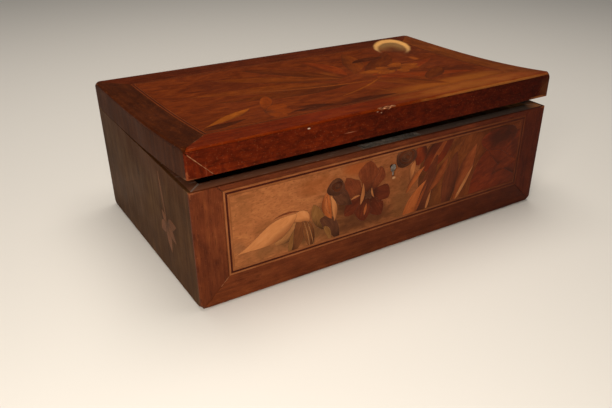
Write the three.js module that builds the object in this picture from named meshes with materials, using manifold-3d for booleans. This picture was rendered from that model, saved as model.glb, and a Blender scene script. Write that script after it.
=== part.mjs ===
// A small hinged storage box veneered in mahogany, with marquetry panels let into its front and lid.
// Millimetres, +Z up, long side along X, front towards -Y. The origin is under the middle of the box.
// The lid has cupped with age: its back edge still meets the case and its front edge stands proud.

import * as THREE from 'three';
import { RoundedBoxGeometry } from 'three/addons/geometries/RoundedBoxGeometry.js';
import { mergeVertices } from 'three/addons/utils/BufferGeometryUtils.js';
import Module from 'manifold-3d';

const wasm = await Module();
wasm.setup();

// Overall sizes of the closed, unwarped box
const boxLength = 300;
const boxDepth = 180;
const caseHeight = 83.5;
const lidHeight = 19.5;
const arrisRadius = 1.6;
const arrisSteps = 3;

// Wear that rounds the corners more than the edges, most of all at the bottom
const cornerRadius = 8;
const cornerSteps = 4;
const cornerMargin = 2;
const cornerMarginBelow = 1;
const backRightRadius = 5.5;

// Cupping of the lid: how far its front edge has lifted, and how late the curve starts
const frontRise = 8;
const warpPower = 3;
const warpStrips = 6;

// Thicknesses, and the gaps left for glue and for the lid to seat
const skin = 2;
const board = 8;
const caseFloor = 8;
const lidPanel = 6;
const glueGap = 0.2;
const mitreGap = 0.15;
const seatGap = 0.3;

// Frame of mahogany banding on the front, with the stringing inside it
const frameWidth = 21;
const bottomRail = 20.2;
const topStrip = 3.8;
const frontStringing = 4;

// Border of mahogany banding on the lid, with its stringing
const lidBorder = 21;
const lidStringing = 3;

// Box lock let into the front board, with its keyhole
const keyholeHeight = 64.8;
const keyholeRadius = 3;
const keyholeSteps = 12;
const keySlotWidth = 2.6;
const keySlotDrop = 6.3;
const lockLength = 38;
const lockHeight = 24;
const lockThickness = 6.5;
const nozzleGap = 0.5;
const nozzleDepth = 0.9;
const nozzleHoleScale = 0.5;
const lockCapThickness = 1;
const selvedgeLength = 50;
const selvedgeDepth = 6.5;
const selvedgeInset = 0.8;
const plateThickness = 1.3;
const boltSlotLength = 12;
const boltSlotDepth = 2.6;
const boltSlotOffset = 0.8;
const boltSlotReach = 6;

// Butt hinges let into the back
const hingeLength = 28;
const hingeSpread = 180;
const leafDepth = 7.5;
const leafThickness = 1.2;
const knuckleRadius = 2;
const knuckleBore = 1.05;
const pinRadius = 0.9;
const knuckleClearance = 0.3;
const knuckleEndGap = 0.2;
const knuckleSides = 16;

// Chip broken out of the front edge of the lid
const chipCentre = -9.5;
const chipLength = 15;
const chipDepth = 1.5;
const chipHeight = 5.4;

// Places worked out from the sizes above
const closedHeight = caseHeight + lidHeight;
const front = -(boxDepth + knuckleRadius) / 2;
const back = front + boxDepth;
const side = boxLength / 2;
const boardSide = side - skin - glueGap;
const boardFront = front + skin + glueGap;
const boardBack = back - skin - glueGap;
const lidBase = caseHeight + seatGap;
const lidPanelTop = closedHeight - skin - glueGap;
const lidWallTop = lidPanelTop - lidPanel - glueGap;
const hingeHeight = caseHeight + seatGap / 2;
const cutOver = 5;
const overlap = 1;

const finishes = {
  mahogany: { color: 0x6a2f16, roughness: 0.38, metalness: 0 },
  greyWood: { color: 0x5a4130, roughness: 0.5, metalness: 0 },
  carcase: { color: 0x7a5a3a, roughness: 0.7, metalness: 0 },
  burr: { color: 0xa8682c, roughness: 0.36, metalness: 0 },
  lidBurr: { color: 0x8a4c20, roughness: 0.34, metalness: 0 },
  stringing: { color: 0xc08a48, roughness: 0.4, metalness: 0 },
  brass: { color: 0xa38a55, roughness: 0.42, metalness: 1 },
  iron: { color: 0x85807a, roughness: 0.45, metalness: 1 },
};

// A rectangle's corners, anticlockwise
function rectangle(left, right, low, high) {
  return [[left, low], [right, low], [right, high], [left, high]];
}

// An outline pushed along the third axis. The plane says which two axes it is drawn in.
function plate(plane, outline, from, to, hole) {
  const shape = new THREE.Shape(outline.map(([a, b]) => new THREE.Vector2(a, b)));
  if (hole) {
    shape.holes.push(new THREE.Path(hole.map(([a, b]) => new THREE.Vector2(a, b))));
  }
  const geometry = new THREE.ExtrudeGeometry(shape, { depth: to - from, bevelEnabled: false });
  if (plane === 'xz') {
    geometry.rotateX(Math.PI / 2);
    geometry.translate(0, to, 0);
  } else if (plane === 'yz') {
    const turn = new THREE.Matrix4().makeBasis(
      new THREE.Vector3(0, 1, 0),
      new THREE.Vector3(0, 0, 1),
      new THREE.Vector3(1, 0, 0),
    );
    geometry.applyMatrix4(turn);
    geometry.translate(from, 0, 0);
  } else {
    geometry.translate(0, 0, from);
  }
  return geometry;
}

function block(x, y, z) {
  return plate('xy', rectangle(x[0], x[1], y[0], y[1]), z[0], z[1]);
}

// A round bar along X
function bar(radius, x, y, z) {
  const geometry = new THREE.CylinderGeometry(radius, radius, x[1] - x[0], knuckleSides);
  geometry.rotateZ(Math.PI / 2);
  geometry.translate((x[0] + x[1]) / 2, y, z);
  return geometry;
}

function toSolid(geometry) {
  const bare = geometry.clone();
  for (const name of Object.keys(bare.attributes)) {
    if (name !== 'position') {
      bare.deleteAttribute(name);
    }
  }
  const merged = mergeVertices(bare, 1e-4);
  return new wasm.Manifold(new wasm.Mesh({
    numProp: 3,
    vertProperties: new Float32Array(merged.attributes.position.array),
    triVerts: new Uint32Array(merged.index.array),
  }));
}

function toGeometry(solid) {
  const mesh = solid.getMesh();
  const geometry = new THREE.BufferGeometry();
  geometry.setAttribute('position', new THREE.BufferAttribute(new Float32Array(mesh.vertProperties), 3));
  geometry.setIndex(new THREE.BufferAttribute(new Uint32Array(mesh.triVerts), 1));
  return geometry;
}

// Joins the geometries in add, then takes those in cut away
function shaped(add, cut = []) {
  let solid = toSolid(add[0]);
  for (const geometry of add.slice(1)) {
    solid = solid.add(toSolid(geometry));
  }
  for (const geometry of cut) {
    solid = solid.subtract(toSolid(geometry));
  }
  return solid;
}

// The outer form of the closed box: every skin is trimmed to it, which rounds the arrises and corners
function outerForm() {
  const middle = (front + back) / 2;
  const form = new RoundedBoxGeometry(boxLength, boxDepth, closedHeight, arrisSteps, arrisRadius)
    .translate(0, middle, closedHeight / 2);
  const wearHeight = closedHeight + cornerMargin + cornerMarginBelow;
  const wear = new RoundedBoxGeometry(
    boxLength + 2 * cornerMargin,
    boxDepth + 2 * cornerMargin,
    wearHeight,
    cornerSteps,
    cornerRadius,
  ).translate(0, middle, wearHeight / 2 - cornerMarginBelow);
  const plan = rectangle(-side, side, front, back);
  const corner = plan.splice(2, 1)[0];
  for (let i = cornerSteps; i >= 0; i -= 1) {
    const angle = (Math.PI / 2) * (1 - i / cornerSteps);
    plan.splice(plan.length - 1, 0, [
      corner[0] - backRightRadius * (1 - Math.cos(angle)),
      corner[1] - backRightRadius * (1 - Math.sin(angle)),
    ]);
  }
  const planForm = plate('xy', plan, 0, closedHeight);
  return toSolid(form).intersect(toSolid(wear)).intersect(toSolid(planForm));
}

const envelope = outerForm();

function trimmed(add, cut) {
  return toGeometry(shaped(add, cut).intersect(envelope));
}

// Cuts a piece's triangles at evenly spaced stations along Y, so that it can follow the curve
function slicedAlongDepth(geometry) {
  const source = geometry.index ? geometry.toNonIndexed() : geometry;
  const position = source.attributes.position;
  let faces = [];
  for (let i = 0; i < position.count; i += 3) {
    faces.push([0, 1, 2].map((k) => new THREE.Vector3().fromBufferAttribute(position, i + k)));
  }
  for (let strip = 1; strip < warpStrips; strip += 1) {
    const station = front + (boxDepth * strip) / warpStrips;
    faces = faces.flatMap((face) => splitAtStation(face, station));
  }
  const flat = faces.flat().flatMap((point) => [point.x, point.y, point.z]);
  const sliced = new THREE.BufferGeometry();
  sliced.setAttribute('position', new THREE.BufferAttribute(new Float32Array(flat), 3));
  return sliced;
}

function splitAtStation(face, station) {
  const nearer = [];
  const farther = [];
  face.forEach((point, i) => {
    const next = face[(i + 1) % 3];
    if (point.y <= station) {
      nearer.push(point);
    }
    if (point.y >= station) {
      farther.push(point);
    }
    if ((point.y - station) * (next.y - station) < 0) {
      const [low, high] = point.y < next.y ? [point, next] : [next, point];
      const crossing = low.clone().lerp(high, (station - low.y) / (high.y - low.y));
      crossing.y = station;
      nearer.push(crossing);
      farther.push(crossing);
    }
  });
  return [nearer, farther].flatMap(fanned);
}

function fanned(corners) {
  const faces = [];
  for (let i = 2; i < corners.length; i += 1) {
    faces.push([corners[0], corners[i - 1], corners[i]]);
  }
  return faces;
}

function riseAt(y) {
  return frontRise * Math.max(0, (back - y) / boxDepth) ** warpPower;
}

function warped(geometry) {
  const sliced = slicedAlongDepth(geometry);
  const position = sliced.attributes.position;
  for (let i = 0; i < position.count; i += 1) {
    position.setZ(i, position.getZ(i) + riseAt(position.getY(i)));
  }
  return mergeVertices(sliced, 1e-4);
}

const box = new THREE.Group();
box.name = 'storage_box';
const boxCase = new THREE.Group();
boxCase.name = 'case';
const lid = new THREE.Group();
lid.name = 'lid';
box.add(boxCase, lid);

function place(group, name, geometry, finish) {
  geometry.computeVertexNormals();
  const mesh = new THREE.Mesh(geometry, new THREE.MeshStandardMaterial(finishes[finish]));
  mesh.name = name;
  group.add(mesh);
}

// Plan outlines of four boards mitred at the corners
function mitredBoards() {
  const inner = boardSide - board;
  const innerFront = boardFront + board;
  const innerBack = boardBack - board;
  const long = (outerY, innerY) => [
    [-boardSide + mitreGap, outerY],
    [boardSide - mitreGap, outerY],
    [inner - mitreGap, innerY],
    [-inner + mitreGap, innerY],
  ];
  const short = (sign) => [
    [sign * boardSide, boardFront + mitreGap],
    [sign * inner, innerFront + mitreGap],
    [sign * inner, innerBack - mitreGap],
    [sign * boardSide, boardBack - mitreGap],
  ];
  return {
    front: long(boardFront, innerFront),
    back: long(boardBack, innerBack),
    left: short(-1),
    right: short(1),
  };
}

const hingeCentres = [-hingeSpread / 2, hingeSpread / 2];

// Pocket for a pair of leaves and their knuckle, cut into the case and the lid alike
function hingeGains() {
  const half = hingeLength / 2 + glueGap;
  const leafReach = leafThickness + glueGap;
  const knuckleReach = knuckleRadius + knuckleClearance;
  return hingeCentres.flatMap((x) => [
    block(
      [x - half, x + half],
      [back - leafDepth - glueGap, back + cutOver],
      [caseHeight - leafReach, lidBase + leafReach],
    ),
    block(
      [x - half, x + half],
      [back - knuckleReach, back + cutOver],
      [hingeHeight - knuckleReach, hingeHeight + knuckleReach],
    ),
  ]);
}

// A keyhole is a round hole over a narrower slot. The one in the lock's nozzle is smaller.
function keyhole(from, to, inset = 0, scale = 1) {
  const radius = (keyholeRadius - inset) * scale;
  const width = (keySlotWidth - 2 * inset) * scale;
  const low = keyholeHeight - (keySlotDrop - inset) * scale;
  const half = Math.asin(width / 2 / radius);
  const outline = [[-width / 2, low], [width / 2, low]];
  for (let i = 0; i <= keyholeSteps; i += 1) {
    const angle = -Math.PI / 2 + half + ((2 * Math.PI - 2 * half) * i) / keyholeSteps;
    outline.push([radius * Math.cos(angle), keyholeHeight + radius * Math.sin(angle)]);
  }
  return plate('xz', outline, from, to);
}

const selvedgeFront = boardFront + selvedgeInset;
const lockBack = boardFront + board;
const lockFront = lockBack - lockThickness;

function lockBody(extra) {
  return [
    block(
      [-lockLength / 2 - extra, lockLength / 2 + extra],
      [lockFront - extra, lockBack + (extra ? cutOver : 0)],
      [caseHeight - lockHeight - extra, caseHeight + (extra ? cutOver : 0)],
    ),
    block(
      [-selvedgeLength / 2 - extra, selvedgeLength / 2 + extra],
      [selvedgeFront - extra, selvedgeFront + selvedgeDepth + extra],
      [caseHeight - plateThickness - extra, caseHeight + (extra ? cutOver : 0)],
    ),
  ];
}

function boltSlot(low, high) {
  const middle = selvedgeFront + selvedgeDepth / 2 + boltSlotOffset;
  return block(
    [-boltSlotLength / 2, boltSlotLength / 2],
    [middle - boltSlotDepth / 2, middle + boltSlotDepth / 2],
    [low, high],
  );
}

function buildCarcase() {
  const plan = mitredBoards();
  const wall = (outline, cut = []) => toGeometry(shaped([plate('xy', outline, 0, caseHeight)], cut));
  const lockPocket = [...lockBody(glueGap), keyhole(front - cutOver, lockBack)];
  place(boxCase, 'case_front_board', wall(plan.front, lockPocket), 'carcase');
  place(boxCase, 'case_back_board', wall(plan.back, hingeGains()), 'carcase');
  place(boxCase, 'case_left_board', wall(plan.left), 'carcase');
  place(boxCase, 'case_right_board', wall(plan.right), 'carcase');
  const insideX = boardSide - board - glueGap;
  const insideY = [boardFront + board + glueGap, boardBack - board - glueGap];
  place(boxCase, 'case_bottom_board', block([-insideX, insideX], insideY, [0, caseFloor]), 'carcase');
}

function buildCaseSkins() {
  const sideSkin = (sign) => trimmed([plate(
    'yz',
    rectangle(front + skin + glueGap, back - skin - glueGap, 0, caseHeight),
    sign > 0 ? side - skin : -side,
    sign > 0 ? side : -side + skin,
  )]);
  place(boxCase, 'case_left_veneer', sideSkin(-1), 'greyWood');
  place(boxCase, 'case_right_veneer', sideSkin(1), 'greyWood');
  const backSkin = plate('xz', rectangle(-side, side, 0, caseHeight), back - skin, back);
  place(boxCase, 'case_back_veneer', trimmed([backSkin], hingeGains()), 'greyWood');
}

const frameX = side - frameWidth;
const frameTop = caseHeight - topStrip;

function buildFrontFace() {
  const facing = (outline, hole) => plate('xz', outline, front, front + skin, hole);
  const stile = (sign) => trimmed([facing([
    [sign * side, 0],
    [sign * (side - mitreGap), 0],
    [sign * (frameX + mitreGap / 2), bottomRail + mitreGap],
    [sign * (frameX + mitreGap / 2), frameTop - mitreGap],
    [sign * (frameX + topStrip + mitreGap), caseHeight],
    [sign * side, caseHeight],
  ])]);
  place(boxCase, 'front_banding_left', stile(-1), 'mahogany');
  place(boxCase, 'front_banding_right', stile(1), 'mahogany');
  place(boxCase, 'front_banding_bottom', trimmed([facing([
    [-side + 3 * mitreGap, 0],
    [side - 3 * mitreGap, 0],
    [frameX - mitreGap, bottomRail - mitreGap],
    [-frameX + mitreGap, bottomRail - mitreGap],
  ])]), 'mahogany');
  place(boxCase, 'front_banding_top', trimmed([facing([
    [-frameX + mitreGap, frameTop + mitreGap],
    [frameX - mitreGap, frameTop + mitreGap],
    [frameX + topStrip - mitreGap, caseHeight],
    [-frameX - topStrip + mitreGap, caseHeight],
  ])]), 'mahogany');
  const innerX = frameX - frontStringing;
  const innerLow = bottomRail + frontStringing;
  const innerHigh = frameTop - frontStringing;
  place(boxCase, 'front_stringing', trimmed([facing(
    rectangle(-frameX + glueGap / 2, frameX - glueGap / 2, bottomRail, frameTop),
    rectangle(-innerX, innerX, innerLow, innerHigh),
  )]), 'stringing');
  place(boxCase, 'front_marquetry_panel', trimmed([facing(
    rectangle(-innerX + glueGap, innerX - glueGap, innerLow + glueGap, innerHigh - glueGap),
  )], [keyhole(front - cutOver, front + cutOver)]), 'burr');
}

// The lock's nozzle fills the keyhole to just below the surface
function buildLock() {
  const nozzle = keyhole(front + nozzleDepth, lockFront + overlap, nozzleGap);
  const cuts = [
    keyhole(front, lockBack - lockCapThickness, nozzleGap, nozzleHoleScale),
    boltSlot(caseHeight - boltSlotReach, caseHeight + cutOver),
  ];
  place(boxCase, 'lock', toGeometry(shaped([...lockBody(0), nozzle], cuts)), 'iron');
}

// One leaf with its share of the knuckle: two outer barrels on the case, one between them on the lid
function hingeLeaf(x, isUpper) {
  const third = hingeLength / 3;
  const spans = isUpper
    ? [[x - third / 2 + knuckleEndGap, x + third / 2 - knuckleEndGap]]
    : [[x - hingeLength / 2, x - third / 2], [x + third / 2, x + hingeLength / 2]];
  const z = isUpper ? [lidBase, lidBase + leafThickness] : [caseHeight - leafThickness, caseHeight];
  const notch = back - knuckleRadius - knuckleClearance;
  const add = [block([x - hingeLength / 2, x + hingeLength / 2], [back - leafDepth, notch], z)];
  for (const span of spans) {
    add.push(block(span, [notch - overlap, back - knuckleRadius / 2], z));
    add.push(bar(knuckleRadius, span, back, hingeHeight));
  }
  const bore = bar(knuckleBore, [x - hingeLength, x + hingeLength], back, hingeHeight);
  return toGeometry(shaped(add, [bore]));
}

function buildHinges() {
  hingeCentres.forEach((x, i) => {
    const which = ['left', 'right'][i];
    place(boxCase, `hinge_case_leaf_${which}`, hingeLeaf(x, false), 'brass');
    place(lid, `hinge_lid_leaf_${which}`, hingeLeaf(x, true), 'brass');
    const pin = bar(pinRadius, [x - hingeLength / 2, x + hingeLength / 2], back, hingeHeight);
    place(boxCase, `hinge_pin_${which}`, pin, 'brass');
  });
}

function strikePlate(extra) {
  return block(
    [-selvedgeLength / 2 - extra, selvedgeLength / 2 + extra],
    [selvedgeFront - extra, selvedgeFront + selvedgeDepth + extra],
    [lidBase - (extra ? cutOver : 0), lidBase + plateThickness + extra],
  );
}

function buildLidBoards() {
  const plan = mitredBoards();
  const wall = (outline, cut = []) => warped(
    toGeometry(shaped([plate('xy', outline, lidBase, lidWallTop)], cut)),
  );
  place(lid, 'lid_front_board', wall(plan.front, [strikePlate(glueGap)]), 'carcase');
  place(lid, 'lid_back_board', wall(plan.back, hingeGains()), 'carcase');
  place(lid, 'lid_left_board', wall(plan.left), 'carcase');
  place(lid, 'lid_right_board', wall(plan.right), 'carcase');
  const panel = block(
    [-boardSide, boardSide],
    [boardFront, boardBack],
    [lidWallTop + glueGap, lidPanelTop],
  );
  place(lid, 'lid_top_board', warped(panel), 'carcase');
  const strike = shaped([strikePlate(0)], [boltSlot(lidBase - overlap, lidBase + cutOver)]);
  place(lid, 'lid_strike_plate', warped(toGeometry(strike)), 'iron');
}

// A shallow scoop broken out of the lid's front edge
function chip() {
  const geometry = new THREE.SphereGeometry(1, 10, 6);
  geometry.scale(chipLength / 2, chipDepth, chipHeight / 2);
  geometry.translate(chipCentre, front, closedHeight);
  return geometry;
}

function buildLidSkins() {
  const low = lidBase;
  const high = lidPanelTop;
  const sideSkin = (sign) => warped(trimmed([plate(
    'yz',
    rectangle(front + skin + glueGap, back - skin - glueGap, low, high),
    sign > 0 ? side - skin : -side,
    sign > 0 ? side : -side + skin,
  )]));
  place(lid, 'lid_left_veneer', sideSkin(-1), 'greyWood');
  place(lid, 'lid_right_veneer', sideSkin(1), 'greyWood');
  const backSkin = plate('xz', rectangle(-side, side, low, high), back - skin, back);
  place(lid, 'lid_back_veneer', warped(trimmed([backSkin], hingeGains())), 'greyWood');

  // The frame's top rail is the lid's front face. The saw cut went through its two mitres.
  const mitreX = frameX + topStrip + seatGap;
  const facing = (outline, cut) => warped(trimmed([plate('xz', outline, front, front + skin)], cut));
  const end = (sign) => facing([
    [sign * side, low],
    [sign * (mitreX + mitreGap), low],
    [sign * side, high - 2 * mitreGap],
  ]);
  place(lid, 'lid_front_banding', facing([
    [-mitreX + mitreGap, low],
    [mitreX - mitreGap, low],
    [side, high],
    [-side, high],
  ], [chip()]), 'mahogany');
  place(lid, 'lid_front_end_left', end(-1), 'mahogany');
  place(lid, 'lid_front_end_right', end(1), 'mahogany');
}

function buildLidTop() {
  const low = closedHeight - skin;
  const high = closedHeight;
  const topSkin = (outline, hole, cut) => warped(trimmed([plate('xy', outline, low, high, hole)], cut));
  const outerX = side;
  const innerX = side - lidBorder + mitreGap;
  const innerFront = front + lidBorder - mitreGap;
  const innerBack = back - lidBorder + mitreGap;
  const long = (outerY, innerY) => [
    [-outerX + mitreGap, outerY],
    [outerX - mitreGap, outerY],
    [innerX - mitreGap, innerY],
    [-innerX + mitreGap, innerY],
  ];
  const short = (sign) => [
    [sign * outerX, front + mitreGap],
    [sign * innerX, innerFront + mitreGap],
    [sign * innerX, innerBack - mitreGap],
    [sign * outerX, back - mitreGap],
  ];
  place(lid, 'lid_banding_front', topSkin(long(front, innerFront), null, [chip()]), 'mahogany');
  place(lid, 'lid_banding_back', topSkin(long(back, innerBack)), 'mahogany');
  place(lid, 'lid_banding_left', topSkin(short(-1)), 'mahogany');
  place(lid, 'lid_banding_right', topSkin(short(1)), 'mahogany');
  const ringX = side - lidBorder;
  const ring = rectangle(-ringX, ringX, front + lidBorder, back - lidBorder);
  const fieldX = ringX - lidStringing;
  const fieldFront = front + lidBorder + lidStringing;
  const fieldBack = back - lidBorder - lidStringing;
  place(lid, 'lid_stringing', topSkin(ring, rectangle(-fieldX, fieldX, fieldFront, fieldBack)), 'stringing');
  place(lid, 'lid_marquetry_field', topSkin(rectangle(
    -fieldX + glueGap,
    fieldX - glueGap,
    fieldFront + glueGap,
    fieldBack - glueGap,
  )), 'lidBurr');
}

buildCarcase();
buildCaseSkins();
buildFrontFace();
buildLock();
buildHinges();
buildLidBoards();
buildLidSkins();
buildLidTop();

export default box;
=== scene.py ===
# Small hinged storage box, veneered in mahogany, with floral marquetry let into the front and the lid.
# Sizes below are in millimetres, and the helpers turn them into metres.
import math
import random
from functools import partial

import bpy
from mathutils import Matrix, Vector


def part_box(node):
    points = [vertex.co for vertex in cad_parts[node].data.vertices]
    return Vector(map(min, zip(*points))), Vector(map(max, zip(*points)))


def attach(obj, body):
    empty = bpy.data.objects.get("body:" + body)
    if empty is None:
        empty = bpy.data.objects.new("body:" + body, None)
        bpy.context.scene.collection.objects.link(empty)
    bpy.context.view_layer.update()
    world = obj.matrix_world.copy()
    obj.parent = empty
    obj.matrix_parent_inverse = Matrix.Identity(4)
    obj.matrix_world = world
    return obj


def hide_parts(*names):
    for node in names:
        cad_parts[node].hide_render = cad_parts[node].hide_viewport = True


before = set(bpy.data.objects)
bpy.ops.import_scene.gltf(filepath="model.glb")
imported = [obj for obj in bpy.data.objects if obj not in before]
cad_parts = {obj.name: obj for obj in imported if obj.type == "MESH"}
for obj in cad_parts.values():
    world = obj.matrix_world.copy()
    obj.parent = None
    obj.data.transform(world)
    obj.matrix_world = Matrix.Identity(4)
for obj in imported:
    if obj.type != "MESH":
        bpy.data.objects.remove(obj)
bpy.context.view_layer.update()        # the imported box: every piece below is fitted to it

random.seed(7)
mm = 0.001

# What the whole box is measured from
boxSizes = {
    "closedHeight": 103,      # top of the closed, flat lid
    "arrisRadius": 1.6,
    "cornerRadius": 8,        # corners are worn rounder than the edges
    "cornerMargin": 2,
    "cornerMarginBelow": 1,
    "backRightRadius": 5.5,
    "roundSteps": 6,
    "lidRise": 8,             # the lid has cupped: its front edge stands this much up
    "lidRisePower": 3,
    "lidStrips": 24,
    "skin": 2,
    "joint": 0.15,
    "openJoint": 0.24,        # the mitres of the lid's front have opened
    "glue": 0.2,
}


def boxInMm(node):
    low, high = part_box(node)
    return low / mm, high / mm


side = boxInMm("case_right_veneer")[1].x
front = boxInMm("front_banding_bottom")[0].y
back = boxInMm("case_back_veneer")[1].y
caseTop = boxInMm("case_front_board")[1].z
lidBase = boxInMm("lid_back_veneer")[0].z
boxTop = boxSizes["closedHeight"]
frameLow, frameHigh = boxInMm("front_stringing")
panelLow, panelHigh = boxInMm("front_marquetry_panel")
ringLow, ringHigh = boxInMm("lid_stringing")
fieldLow, fieldHigh = boxInMm("lid_marquetry_field")


# Selection, modifiers and plain solids

def clearSelection():
    if bpy.context.object and bpy.context.object.mode != "OBJECT":
        bpy.ops.object.mode_set(mode="OBJECT")
    bpy.ops.object.select_all(action="DESELECT")


def pick(piece):
    clearSelection()
    piece.select_set(True)
    bpy.context.view_layer.objects.active = piece


def openMesh(piece, action="SELECT"):
    pick(piece)
    bpy.ops.object.mode_set(mode="EDIT")
    bpy.ops.mesh.select_all(action=action)


def closeMesh():
    bpy.ops.object.mode_set(mode="OBJECT")


def applyModifier(piece, kind, **settings):
    pick(piece)
    modifier = piece.modifiers.new(kind.lower(), kind)
    for key, value in settings.items():
        setattr(modifier, key, value)
    bpy.ops.object.modifier_apply(modifier=modifier.name)


def settle(piece):
    pick(piece)
    bpy.ops.object.transform_apply(location=True, rotation=True, scale=True)


def addBlock(name, x, y, z):
    clearSelection()
    middle = Vector((sum(x), sum(y), sum(z))) / 2 * mm
    bpy.ops.mesh.primitive_cube_add(size=1, location=middle)
    piece = bpy.context.object
    piece.name = name
    piece.scale = Vector((x[1] - x[0], y[1] - y[0], z[1] - z[0])) * mm
    settle(piece)
    return piece


def placeOn(plane, a, b, depth):
    if plane == "xz":
        return Vector((a, depth, b)) * mm
    if plane == "yz":
        return Vector((depth, a, b)) * mm
    return Vector((a, b, depth)) * mm


acrossPlane = {"xz": Vector((0, 1, 0)), "yz": Vector((1, 0, 0)), "xy": Vector((0, 0, 1))}


# A flat outline, pushed to a thickness: a filled circle whose points are moved to the outline, then extruded
def addOutline(name, plane, outline, low, high):
    clearSelection()
    bpy.ops.mesh.primitive_circle_add(vertices=len(outline), fill_type="NGON")
    piece = bpy.context.object
    piece.name = name
    for vertex, (a, b) in zip(piece.data.vertices, outline):
        vertex.co = placeOn(plane, a, b, low)
    openMesh(piece)
    push = acrossPlane[plane] * (high - low) * mm
    bpy.ops.mesh.extrude_region_move(TRANSFORM_OT_translate={"value": push})
    bpy.ops.mesh.select_all(action="SELECT")
    bpy.ops.mesh.normals_make_consistent(inside=False)
    closeMesh()
    return piece


def combine(piece, other, operation, keepOther=False):
    applyModifier(piece, "BOOLEAN", operation=operation, solver="EXACT", object=other)
    if not keepOther:
        bpy.data.objects.remove(other)


def joinPieces(name, pieces):
    clearSelection()
    for piece in pieces:
        piece.select_set(True)
    bpy.context.view_layer.objects.active = pieces[0]
    if len(pieces) > 1:
        bpy.ops.object.join()
    pieces[0].name = name
    return pieces[0]


# The closed box's outer form: every outside piece is trimmed to it
def makeOuterForm():
    corner = boxSizes["cornerMargin"]
    steps = boxSizes["roundSteps"]
    form = addBlock("outerForm", (-side, side), (front, back), (0, boxTop))
    applyModifier(form, "BEVEL", width=boxSizes["arrisRadius"] * mm, segments=4, limit_method="NONE")
    worn = addBlock(
        "wornCorners",
        (-side - corner, side + corner),
        (front - corner, back + corner),
        (-boxSizes["cornerMarginBelow"], boxTop + corner),
    )
    applyModifier(worn, "BEVEL", width=boxSizes["cornerRadius"] * mm, segments=7, limit_method="NONE")
    combine(form, worn, "INTERSECT")
    plan = [(-side, front), (side, front)]
    radius = boxSizes["backRightRadius"]
    for step in range(steps + 1):
        angle = math.pi / 2 * step / steps
        plan.append((side - radius * (1 - math.cos(angle)), back - radius * (1 - math.sin(angle))))
    plan.append((-side, back))
    combine(form, addOutline("roundCorner", "xy", plan, -1, boxTop + 1), "INTERSECT")
    return form


outerForm = makeOuterForm()
print("outer form made")


def riseAt(y):
    reach = max(0, (back - y) / (back - front))
    return boxSizes["lidRise"] * reach ** boxSizes["lidRisePower"]


# Cuts a lid piece across at even stations, then lifts it to the cupped lid's curve
def liftWithLid(piece):
    openMesh(piece)
    depths = [vertex.co.y / mm for vertex in piece.data.vertices]
    strips = boxSizes["lidStrips"]
    for strip in range(1, strips):
        station = front + (back - front) * strip / strips
        if min(depths) < station < max(depths):
            bpy.ops.mesh.select_all(action="SELECT")
            bpy.ops.mesh.bisect(plane_co=(0, station * mm, 0), plane_no=(0, 1, 0))
    closeMesh()
    for vertex in piece.data.vertices:
        vertex.co.z += riseAt(vertex.co.y / mm) * mm


# Writes the wood's own map, in millimetres: first along the grain, then across it
def layGrain(piece, axis, turn=0, shift=None):
    grain = piece.data.uv_layers.get("grain") or piece.data.uv_layers.new(name="grain")
    if shift is None:
        shift = (random.uniform(-400, 400), random.uniform(-400, 400))
    turnBy = math.radians(turn)
    for face in piece.data.polygons:
        normal = [abs(part) for part in face.normal]
        endGrain = normal["xyz".index(axis)] > 0.8
        for corner in face.loop_indices:
            x, y, z = piece.data.vertices[piece.data.loops[corner].vertex_index].co / mm
            along, across = {"x": (x, y + z), "y": (y, x + z), "z": (z, x + y)}[axis]
            if endGrain:
                along, across = {"x": (y, z), "y": (x, z), "z": (x, y)}[axis]
            grain.data[corner].uv = (
                along * math.cos(turnBy) + across * math.sin(turnBy) + shift[0],
                across * math.cos(turnBy) - along * math.sin(turnBy) + shift[1],
            )


def finishPiece(piece, body, slotName, materials, *nodes):
    pick(piece)
    if materials is not None:
        piece.data.materials.clear()
        for material in materials:
            piece.data.materials.append(material)
    bpy.ops.object.shade_smooth_by_angle(angle=math.radians(32))
    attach(piece, body)
    if nodes:
        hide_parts(*nodes)
    return piece


# Materials

def toLinear(hexColour):
    parts = [int(hexColour[i:i + 2], 16) / 255 for i in (1, 3, 5)]
    return [p / 12.92 if p <= 0.04045 else ((p + 0.055) / 1.055) ** 2.4 for p in parts] + [1]


def fillSocket(socket, value):
    if isinstance(value, bpy.types.NodeSocket):
        socket.id_data.links.new(value, socket)
    else:
        socket.default_value = toLinear(value) if isinstance(value, str) else value


# Adds a node, fills its open inputs by name or in their order, and gives back its first open output.
# A Map Range takes the value, the range that it comes from and the range that it goes to.
def addNode(tree, kind, inputs=(), operation=None, stops=(), **settings):
    node = tree.nodes.new("ShaderNode" + kind)
    if operation:
        node.operation = operation
    for key, value in settings.items():
        setattr(node, key, value)
    openInputs = [socket for socket in node.inputs if socket.enabled]
    if isinstance(inputs, dict):
        openInputs, inputs = [node.inputs[name] for name in inputs], inputs.values()
    for socket, value in zip(openInputs, inputs):
        fillSocket(socket, value)
    for count, (position, colour) in enumerate(stops):
        element = node.color_ramp.elements[count] if count < 2 else node.color_ramp.elements.new(1)
        element.position = position
        element.color = toLinear(colour)
    return next(socket for socket in node.outputs if socket.enabled)


def startMaterial(name):
    material = bpy.data.materials.new(name)
    material.use_nodes = True
    return material, partial(addNode, material.node_tree)


def setShader(material, **inputs):
    shader = material.node_tree.nodes["Principled BSDF"]
    for name, value in inputs.items():
        fillSocket(shader.inputs[name.replace("_", " ")], value)
    return material


# Object coordinates in millimetres
def placeInMm(add):
    place = add("TexCoord").node.outputs["Object"]
    return add("VectorMath", [place, 1 / mm], "SCALE")


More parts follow.
